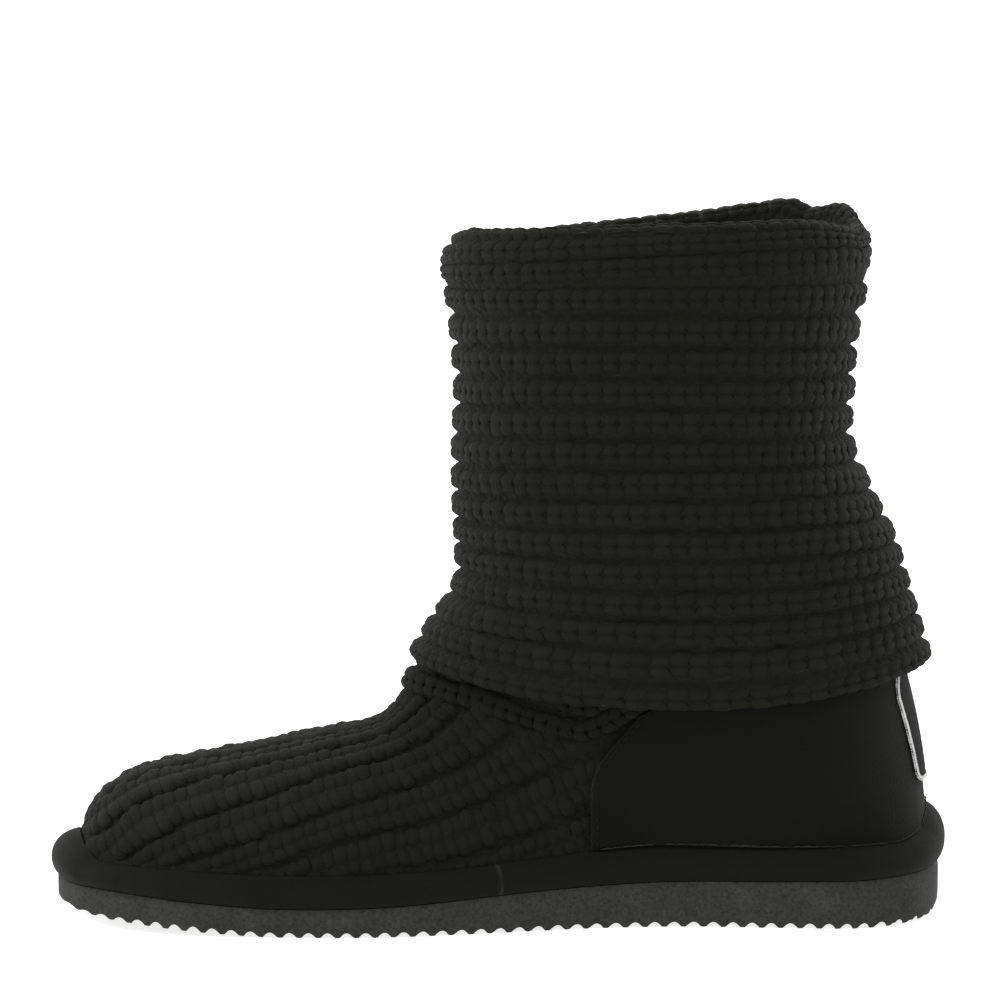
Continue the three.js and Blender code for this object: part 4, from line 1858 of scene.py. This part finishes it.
    def rib(self, run: StitchRun, place: Array, turns: tuple[Array, ...]) -> None:
        """Adds the stitches of one rib where it shows.

        Args:
            run: The run to add to.
            place: Places along the rib.
            turns: The angles of its upper edge, its middle and its lower edge there.
        """
        upper, line, lower = (FOOT.point(place, turn) for turn in turns)
        out = FOOT.normal(place, turns[1])
        along = unit(np.gradient(line, axis=0))
        gap = lower - upper
        gap -= along * np.sum(gap * along, axis=1, keepdims=True)
        width = np.linalg.norm(gap, axis=1)
        across = np.maximum((width - self.valley) / self.SHAPE.span, self.narrowest)
        size = np.column_stack([np.ones(len(place)), across, np.ones(len(place))])
        over = line[:, 2] - ANKLE_SEAM.along("z", line[:, 0])
        line = line - out * (self.SEAM_TUCK * np.maximum(over + 1, 0))[:, None]
        under = line[:, 2] - SIDE_LINES.along("rand_top", line[:, 0])
        shows = (np.abs(turns[1]) < self.HEEL_ANGLE) & (under > -self.tucked) & (over < self.overlap)
        shows &= line[:, 0] < HeelCounter.front(line[:, 2]) + self.tucked
        edges = np.flatnonzero(np.diff(np.concatenate([[0], shows.astype(int), [0]])))
        for first, end in zip(edges[::2], edges[1::2]):
            if end - first > self.SHORTEST_RIB:
                run.add_line(line[first:end], out[first:end], self.stitch, size[first:end])


@dataclass
class Shaft:
    """Knitted leg tube, sewn to the upper at the ankle and turned down at the top into a ribbed cuff.

    Args:
        yarn: The finish of its stitches.
        ground: The finish of the cloth under them.
        shop: The stitch trees.
        round_count: Stitches round the cuff.
        inner_count: Stitches round the inside of the leg.
        columns: Points round the ground.
        fine: Rows of the ground in each rib.
    """

    yarn: Material
    ground: Material
    shop: Workshop
    round_count: int = 76
    inner_count: int = 66
    columns: int = 160
    fine: int = 12

    SHAPE = StitchShape(
        start=(-0.5, -0.2, -1.25), bend=(-0.1, 2.7, -0.1), end=(0.6, 2.85, -4.2),
        radius=1.2, wobble=0.1, spread=0.09, wide=2.75, pinch=0.55,
    )
    INNER_SHAPE = replace(SHAPE, steps=4, sides=5)
    RIB_STEP = RIB_ROWS / CUFF_RIBS
    HEM = 0.09
    FOLD_COURSES = ((8.0, 8.95), (8.95, 9.3), (9.3, 9.62), (9.62, 9.94))
    FOLD_STEPS = 6
    FOLD_SINK = (1.0, 0.9)
    INNER_TOP, INNER_RIB, INNER_RIBS, INNER_STEPS = 17.35, 0.5, 8, 8
    INNER_END = INNER_TOP - INNER_RIB * INNER_RIBS
    INNER_HALF = 0.48 * INNER_RIB
    INNER_SINK = (1.6, -1.4)
    INNER_STAND = 3.0
    LINING_SINK, LINING_ROWS = 2.2, 12
    HIDDEN_COURSES = (3.2, 0.05, 7)
    HIDDEN_SINK = 4.6
    ROLL_RIB = 8.4
    ROLL_SINK = (0.1, 1.4)
    ROLL_ROWS = (0.42, 1.42)
    ROLL_TURN, ROLL_POINTS = 2.4, 900
    ROLL_STAND = 1.5
    ROLL_PITCH, ROLL_STRETCH = 4.2, 0.92
    ROLL_STEPS = (
        0, 0.9, 1.9, 3, 4.2, 5.4, 6.5, 7.5, 8.4, 9.3, 10.3, 11.4, 12.6, 13.8, 14.9, 15.9, 16.8, 24, 34,
    )
    CLIMB = (0, 5, 300)

    def build(self) -> list[Piece]:
        """Works the ground cloth and its stitches.

        Returns:
            The ground, then the stitches of cuff, fold, inside and ankle.
        """
        ribs = tuple((i * self.RIB_STEP, (i + 1) * self.RIB_STEP) for i in range(CUFF_RIBS))
        return [
            self.cloth(),
            self.cuff_stitches("cuff_stitches", ribs),
            self.cuff_stitches("fold_stitches", self.FOLD_COURSES),
            self.inner_stitches(),
            self.ankle_stitches(),
        ]

    def cloth(self) -> Piece:
        """The ground cloth: up the cuff, over the fold, down the inside and back up under the cuff.

        Returns:
            The cloth.
        """
        angle = CUFF.even_angles(self.columns)
        leg = half_turn(angle)
        rows = []
        for rib in np.arange(CUFF_RIBS * self.fine) / self.fine:
            rows.append(CUFF.point(max(rib * self.RIB_STEP, self.HEM), angle, rib_sink(rib)))
        for low, high in self.FOLD_COURSES:
            for share in np.arange(self.FOLD_STEPS) / self.FOLD_STEPS:
                rows.append(CUFF.point(lerp(low, high, share), angle, rib_sink(share, *self.FOLD_SINK)))
        for rib in np.linspace(0, self.INNER_RIBS, self.INNER_STEPS * self.INNER_RIBS + 1):
            place = self.INNER_TOP - rib * self.INNER_RIB
            rows.append(FOOT.shell(place, leg, -rib_sink(rib, *self.INNER_SINK)))
        seam = FOOT.seam_place(leg)
        for share in np.linspace(0, 1, self.LINING_ROWS)[1:]:
            place = np.maximum(lerp(self.INNER_END, seam, share), seam)
            rows.append(FOOT.shell(place, leg, -self.LINING_SINK))
        for away in self.ROLL_STEPS:
            sink = rib_sink(away / self.ROLL_RIB, *self.ROLL_SINK)
            rows.append(FOOT.shell(self.above_seam(leg, away), leg, -sink))
        for course in np.linspace(*self.HIDDEN_COURSES):
            rows.append(CUFF.point(course, angle, self.HIDDEN_SINK))
        ring = np.stack(rows, axis=0)
        piece = mesh_piece("shaft_cloth", ring, grid_faces(*ring.shape[:2], wrap=True, loop=True))
        return dress(piece, self.ground, "knit", "shaft")

    @staticmethod
    def above_seam(angle: Array, away: float) -> Array:
        """Places on the leg a set distance up from the ankle seam.

        Args:
            angle: Angles round the leg.
            away: The distance in millimetres.

        Returns:
            Places counted in rings.
        """
        start = FOOT.seam_place(angle)
        share = np.linspace(*Shaft.CLIMB)
        length = lengths(FOOT.point(start[None, :] + share[:, None], angle[None, :]))
        return start + np.array([np.interp(away, line, share) for line in length.T])

    @staticmethod
    def stretch(spots: Array, span: Array) -> Array:
        """Stretch of the stitches in a closed ring.

        Args:
            spots: Their places.
            span: From one edge of the rib to the other, at each of them.

        Returns:
            Stretch along, across and out.
        """
        pace = np.linalg.norm(spots - np.roll(spots, 1, axis=0), axis=1)
        across = np.linalg.norm(span, axis=1)
        return np.column_stack([pace / STITCH, across / RIB, np.ones(len(spots))])

    def cuff_stitches(self, name: str, courses: tuple[tuple[float, float], ...]) -> Piece:
        """Stitches in rings round the outside of the cuff.

        Args:
            name: The piece's name.
            courses: The lower and upper edge of each rib, in rows of the cuff.

        Returns:
            The stitches.
        """
        run = StitchRun()
        angle = CUFF.even_angles(self.round_count)
        for low, high in courses:
            middle = (low + high) / 2
            spots = CUFF.point(middle, angle)
            size = self.stretch(spots, CUFF.point(high, angle) - CUFF.point(low, angle))
            run.add(spots, -CUFF.turning(middle, angle), CUFF.normal(middle, angle), size)
        return self.shop.knit.work(name, run, self.SHAPE, self.yarn, "knit", "shaft")

    def inner_stitches(self) -> Piece:
        """Stitches in rings down the inside of the leg, as far as they can be seen.

        Returns:
            The stitches.
        """
        run = StitchRun()
        angle = half_turn(CUFF.even_angles(self.inner_count))
        for place in self.INNER_TOP - self.INNER_RIB * (np.arange(self.INNER_RIBS) + 0.5):
            out = -FOOT.normal(place, angle)
            spots = FOOT.point(place, angle) + out * self.INNER_STAND
            low, high = (FOOT.point(place + edge, angle) for edge in (-self.INNER_HALF, self.INNER_HALF))
            size = self.stretch(spots, high - low)
            run.add(spots, FOOT.turning(place, angle), out, size)
        return self.shop.knit.work("inner_stitches", run, self.INNER_SHAPE, self.yarn, "knit", "shaft")

    def ankle_stitches(self) -> Piece:
        """Stitches of the roll that shows between the ankle seam and the hem.

        Returns:
            The stitches.
        """
        run = StitchRun()
        angle = np.linspace(-self.ROLL_TURN, self.ROLL_TURN, self.ROLL_POINTS)
        size = (self.ROLL_STRETCH, self.ROLL_RIB / RIB, 1.0)
        for row in self.ROLL_ROWS:
            place = self.above_seam(angle, row * self.ROLL_RIB)
            line = FOOT.shell(place, angle, self.ROLL_STAND)
            run.add_line(line[::-1], FOOT.normal(place, angle)[::-1], self.ROLL_PITCH, size)
        return self.shop.knit.work("ankle_stitches", run, self.SHAPE, self.yarn, "knit", "shaft")


@dataclass
class HeelCounter:
    """Suede overlay round the back of the foot.

    Args:
        finish: Its suede.
        thread: The thread of its sewn edge.
        shop: The stitch trees.
        outside: How far its face stands out from the knit.
        wall: Its thickness.
        heel_x: Where its straight sides end and the heel begins.
        heel_depth: How far the heel reaches back from there.
        rim: How far its front edges draw in.
        rim_width: Width of the strip in which they do.
        pitch: Distance between the stitches along its edges.
        columns: Points round it.
        rows: Points up it.
    """

    finish: Material
    thread: Material
    shop: Workshop
    outside: float = 1.9
    wall: float = 1.1
    heel_x: float = 92.0
    heel_depth: float = 34.0
    rim: float = 0.7
    rim_width: float = 1.6
    pitch: float = 2.6
    columns: int = 161
    rows: int = 44

    FRONT_X, FRONT_BEND, FRONT_SLANT, FRONT_SOFT = 27.0, 47.0, 34 / 40, 3.0
    TUCK, TUCK_X, TUCK_WIDTH = 0.9, 48.0, 8.0
    SIDE_SHARE = 0.4
    ROUNDS = 6
    SEWN_COLUMN = 2
    RAND_GAP = 0.2
    WAVE, WAVE_ALONG, WAVE_UP = 0.25, 0.11, 0.1
    HEART = (80.0, 0.0, 50.0)
    RAY = 90.0
    EDGE = StitchShape(
        start=(-0.9, 0, -0.25), bend=(0, 0, 0.5), end=(0.9, 0, -0.25), radius=0.24, steps=4, sides=5
    )

    @classmethod
    def front(cls, z: Array) -> Array:
        """Where its front edge lies at a height: upright, then slanted back from a soft bend."""
        return cls.FRONT_X + cls.FRONT_SLANT * cls.FRONT_SOFT * np.logaddexp(
            0, (z - cls.FRONT_BEND) / cls.FRONT_SOFT
        )

    def height(self, x: Array, turn: Array, rise: Array) -> Array:
        """The height a share of the way from the rand to the ankle seam.

        Args:
            x: Places along the boot.
            turn: Which way the counter faces there, 0 straight back.
            rise: Shares of the height.

        Returns:
            Heights in millimetres.
        """
        tuck = self.TUCK * dent(x - self.TUCK_X, self.TUCK_WIDTH)
        low = SIDE_LINES.along("rand_top", x + RAND_REACH * np.cos(turn)) + self.RAND_GAP
        return lerp(low, ANKLE_SEAM.along("z", x) - SEAT_GAP + tuck, rise)

    def rays(self) -> tuple[Array, Array, Array]:
        """Rays from inside the foot to the points of the counter.

        Returns:
            Their starts, their directions and the points' distances from the front edge.
        """
        share = np.linspace(0, 1, self.columns)[None, :]
        rise = np.linspace(0, 1, self.rows)[:, None]
        along = np.clip((0.5 - np.abs(share - 0.5)) / self.SIDE_SHARE, 0, 1)
        turn = np.clip((share - 0.5) / (0.5 - self.SIDE_SHARE), -1, 1) * math.pi / 2
        x = np.broadcast_to(lerp(self.FRONT_X, self.heel_x, along), (self.rows, self.columns))
        for _ in range(self.ROUNDS):
            z = self.height(x + self.heel_depth * np.cos(turn), turn, rise)
            edge = self.front(z)
            x = lerp(edge, self.heel_x, along)
        starts = np.stack([x, np.zeros_like(x), z], axis=-1)
        heading = np.stack(np.broadcast_arrays(np.cos(turn), np.sin(turn), np.zeros_like(x)), axis=-1)
        return starts, heading, x - edge

    def build(self) -> list[Piece]:
        """Wraps the overlay round the heel.

        Returns:
            The overlay and its sewn edge.
        """
        starts, heading, away = self.rays()
        grid, facing = cast(FOOT.tree(0.0), starts, heading, self.RAY)
        stand = self.outside - self.rim * dent(away, self.rim_width)
        along, up = np.sin(grid[..., 0] * self.WAVE_ALONG + 1.0), np.sin(grid[..., 2] * self.WAVE_UP)
        stand += self.WAVE * along * up
        grid += facing * stand[..., None]
        piece = mesh_piece("heel_counter_cover", grid, grid_faces(self.rows, self.columns))
        face_out(piece, self.HEART)
        thicken(piece, self.wall)
        mark(piece, "pale_mark", np.zeros(len(piece.data.vertices)))
        dress(piece, self.finish, "suede", "heel_counter")
        return [piece, self.edge_stitches(grid, facing)]

    def edge_stitches(self, grid: Array, facing: Array) -> Piece:
        """Small stitches close to the two front edges.

        Args:
            grid: The overlay's points.
            facing: Its directions out.

        Returns:
            The stitches.
        """
        run = StitchRun()
        for column in (self.SEWN_COLUMN, -1 - self.SEWN_COLUMN):
            run.add_line(grid[:, column], facing[:, column], self.pitch)
        name = "heel_counter_stitches"
        return self.shop.sewing.work(name, run, self.EDGE, self.thread, "suede", "heel_counter")


@dataclass
class HeelPatch:
    """Small plain cloth patch, sewn to the back of the counter.

    Args:
        finish: Its cloth.
        thread: The thread of its border.
        shop: The stitch trees.
        bottom: Height of its lower edge.
        top: Height of its upper edge.
        bottom_half: Half its width at the bottom.
        top_half: Half its width at the top.
        corner: Radius of its lower corners.
        top_corner: Radius of its upper corners.
        face: How far its face stands out from the knit.
        back: How far its back does.
        border: How far inside its edge the border runs.
        pitch: Distance between the border's stitches.
        rings: Rings from its middle to its edge.
        sides: Points round its edge.
    """

    finish: Material
    thread: Material
    shop: Workshop
    bottom: float = 40.6
    top: float = 77.5
    bottom_half: float = 14.0
    top_half: float = 18.0
    corner: float = 4.0
    top_corner: float = 11.0
    face: float = 3.0
    back: float = 2.3
    border: float = 0.5
    pitch: float = 0.52
    rings: int = 12
    sides: int = 144

    CORNER_POINTS = 16
    INSIDE_X = 70.0
    RAY = 120.0
    BORDER = StitchShape(
        start=(-0.15, -0.6, -0.55), bend=(0, 0, 0.7), end=(0.15, 0.6, -0.55),
        radius=0.38, sides=5, spread=0.06,
    )

    def outline(self, inset: float = 0.0) -> Array:
        """The patch's edge, as y and z.

        Args:
            inset: How far inside the edge, in millimetres.

        Returns:
            Evenly spaced points.
        """
        round_low, round_high = self.corner, self.top_corner
        low, high = self.bottom + round_low, self.top - round_high
        corners = (
            (self.bottom_half - round_low, low, round_low, -90),
            (self.top_half - round_high, high, round_high, 0),
            (round_high - self.top_half, high, round_high, 90),
            (round_low - self.bottom_half, low, round_low, 180),
        )
        points = []
        for y, z, radius, start in corners:
            turn = np.radians(start + np.linspace(0, 90, self.CORNER_POINTS))
            reach = radius - inset
            points.append(np.stack([y + reach * np.cos(turn), z + reach * np.sin(turn)], axis=-1))
        return even_ring(np.concatenate(points), self.sides)

    def lay(self, tree: BVHTree, flat: Array, stand: float) -> tuple[Array, Array]:
        """Lays flat points on the back of the heel.

        Args:
            tree: The knit's surface.
            flat: Points as y and z.
            stand: How far they stand out from the knit.

        Returns:
            The points and their directions out.
        """
        starts = np.insert(flat, 0, self.INSIDE_X, axis=1)
        spots, facing = cast(tree, starts, np.broadcast_to((1.0, 0.0, 0.0), starts.shape), self.RAY)
        return spots + facing * stand, facing

    def build(self) -> list[Piece]:
        """Lays the patch on the heel.

        Returns:
            The patch and its border.
        """
        tree = FOOT.tree(0.0)
        middle = np.array([0.0, (self.bottom + self.top) / 2])
        edge = self.outline() - middle
        shares = np.linspace(0, 1, self.rings)
        rows = [self.lay(tree, middle + edge * share, self.face)[0] for share in shares]
        rows += [self.lay(tree, middle + edge * share, self.back)[0] for share in shares[::-1]]
        ring = np.stack(rows, axis=0)
        cloth = mesh_piece("heel_patch_cloth", ring, grid_faces(*ring.shape[:2], wrap=True))
        dress(cloth, self.finish, "patch", "heel_patch")
        spots, facing = self.lay(tree, self.outline(self.border), self.face)
        run = StitchRun()
        run.add_line(closed(spots), closed(facing), self.pitch)
        name = "heel_patch_border"
        border = self.shop.sewing.work(name, run, self.BORDER, self.thread, "patch", "heel_patch")
        return [cloth, border]


@dataclass
class Studio:
    """White studio with a camera at the inner side of the foot.

    Args:
        floor_finish: The floor's material.
        camera_place: The camera's place, in millimetres.
        pitch: How far it looks down, in degrees.
        lens: Its focal length, in millimetres.
        sky: Brightness of the white room.
        top: Strength of the soft light from above.
        softness: How wide that light is, in degrees.
    """

    floor_finish: Material
    camera_place: Triple = (0.15, -1080.0, 237.0)
    pitch: float = 5.94
    lens: float = 129.02
    sky: float = 1.3
    top: float = 0.9
    softness: float = 140.0

    ROOM_TINT = (1, 0.997, 0.994, 1)
    SENSOR = 36.0
    FAR = 100.0
    FLOOR_HALF, FLOOR_Z = 20000.0, -0.1
    LIGHTS = (
        ("light_key", (-2.0, -0.5, 1.5), (0.0, 0.0, 0.1), 1.4, 39.0),
        ("light_back", (1.4, 1.0, 1.3), (0.0, 0.0, 0.1), 1.2, 13.0),
    )

    def build(self) -> None:
        """Sets up floor, room light, lamps and camera."""
        scene = bpy.context.scene
        self.floor()
        self.room(scene)
        self.sun(scene)
        for name, place, target, size, power in self.LIGHTS:
            self.lamp(scene, name, Vector(place), Vector(target), size, power)
        data = bpy.data.cameras.new("camera")
        data.lens = self.lens
        data.sensor_width = self.SENSOR
        data.clip_end = self.FAR
        camera = bpy.data.objects.new("camera", data)
        camera.location = Vector(self.camera_place) * MM
        camera.rotation_euler = (math.radians(90 - self.pitch), 0, 0)
        scene.collection.objects.link(camera)
        scene.camera = camera
        scene.view_settings.view_transform = "Standard"

    def floor(self) -> None:
        """Lays the floor just under the tread."""
        half = self.FLOOR_HALF
        flat = ((-half, -half), (half, -half), (half, half), (-half, half))
        floor = mesh_piece("floor", np.array([(x, y, self.FLOOR_Z) for x, y in flat]), [(0, 1, 2, 3)])
        if floor.data.polygons[0].normal.z < 0:
            floor.data.flip_normals()
        floor.data.materials.append(self.floor_finish)

    def room(self, scene: bpy.types.Scene) -> None:
        """Makes the room evenly white.

        Args:
            scene: The scene.
        """
        world = bpy.data.worlds.new("room")
        world.use_nodes = True
        world.node_tree.nodes.clear()
        tree = NodeTree(world.node_tree)
        light = {"Color": self.ROOM_TINT, "Strength": self.sky}
        shade = tree.node("ShaderNodeBackground", inputs=light)
        tree.node("ShaderNodeOutputWorld", inputs={"Surface": shade.outputs[0]})
        scene.world = world

    def sun(self, scene: bpy.types.Scene) -> None:
        """Hangs a very soft sun straight above, so that the floor is evenly bright.

        Args:
            scene: The scene.
        """
        data = bpy.data.lights.new("light_top", "SUN")
        data.energy = self.top
        data.angle = math.radians(self.softness)
        scene.collection.objects.link(bpy.data.objects.new("light_top", data))

    @staticmethod
    def lamp(
        scene: bpy.types.Scene, name: str, place: Vector, target: Vector, size: float, power: float
    ) -> None:
        """Hangs a square soft lamp.

        Args:
            scene: The scene.
            name: The lamp's name.
            place: Where it hangs, in metres.
            target: What it points at.
            size: The length of its side, in metres.
            power: Its power in watts.
        """
        data = bpy.data.lights.new(name, "AREA")
        data.size = size
        data.energy = power
        lamp = bpy.data.objects.new(name, data)
        lamp.location = place
        lamp.rotation_euler = (target - place).to_track_quat("-Z", "Y").to_euler()
        scene.collection.objects.link(lamp)


def main() -> None:
    """Builds the boot and its studio, and reports each piece."""
    logging.basicConfig(level=logging.INFO, format="%(message)s")
    shop = Workshop(StitchTree("knit_stitch", Legs.PAIR), StitchTree("sewing_stitch", Legs.SINGLE))
    yarn, ground, suede = Yarn().make(), KnitGround().make(), Suede(fuzz=0.5).make()
    smooth_suede = Suede("smooth_suede", grey(0.0018, 0.3), grey(0.003, 0.3)).make()
    dark_thread = Thread("dark_thread", grey(0.006, 0.1), grey(0.013, 0.1)).make()
    black_thread = Thread("black_thread", grey(0.002, 0.2), grey(0.0036, 0.2)).make()
    pale_thread = Thread("pale_thread", grey(0.3, 0.03), grey(0.55, 0.03)).make()
    parts = (
        Outsole(FoamRubber().make()),
        Rand(suede, dark_thread, shop),
        Insole(Fleece().make()),
        Upper(yarn, ground, shop),
        Shaft(yarn, ground, shop),
        HeelCounter(smooth_suede, black_thread, shop),
        HeelPatch(PatchCloth().make(), pale_thread, shop),
    )
    for part in parts:
        for piece in part.build():
            piece.data.calc_loop_triangles()
            LOG.info("%s: %s, %d triangles", type(part).__name__, piece.name, len(piece.data.loop_triangles))
    Studio(Backdrop().make()).build()


if __name__ == "__main__":
    main()
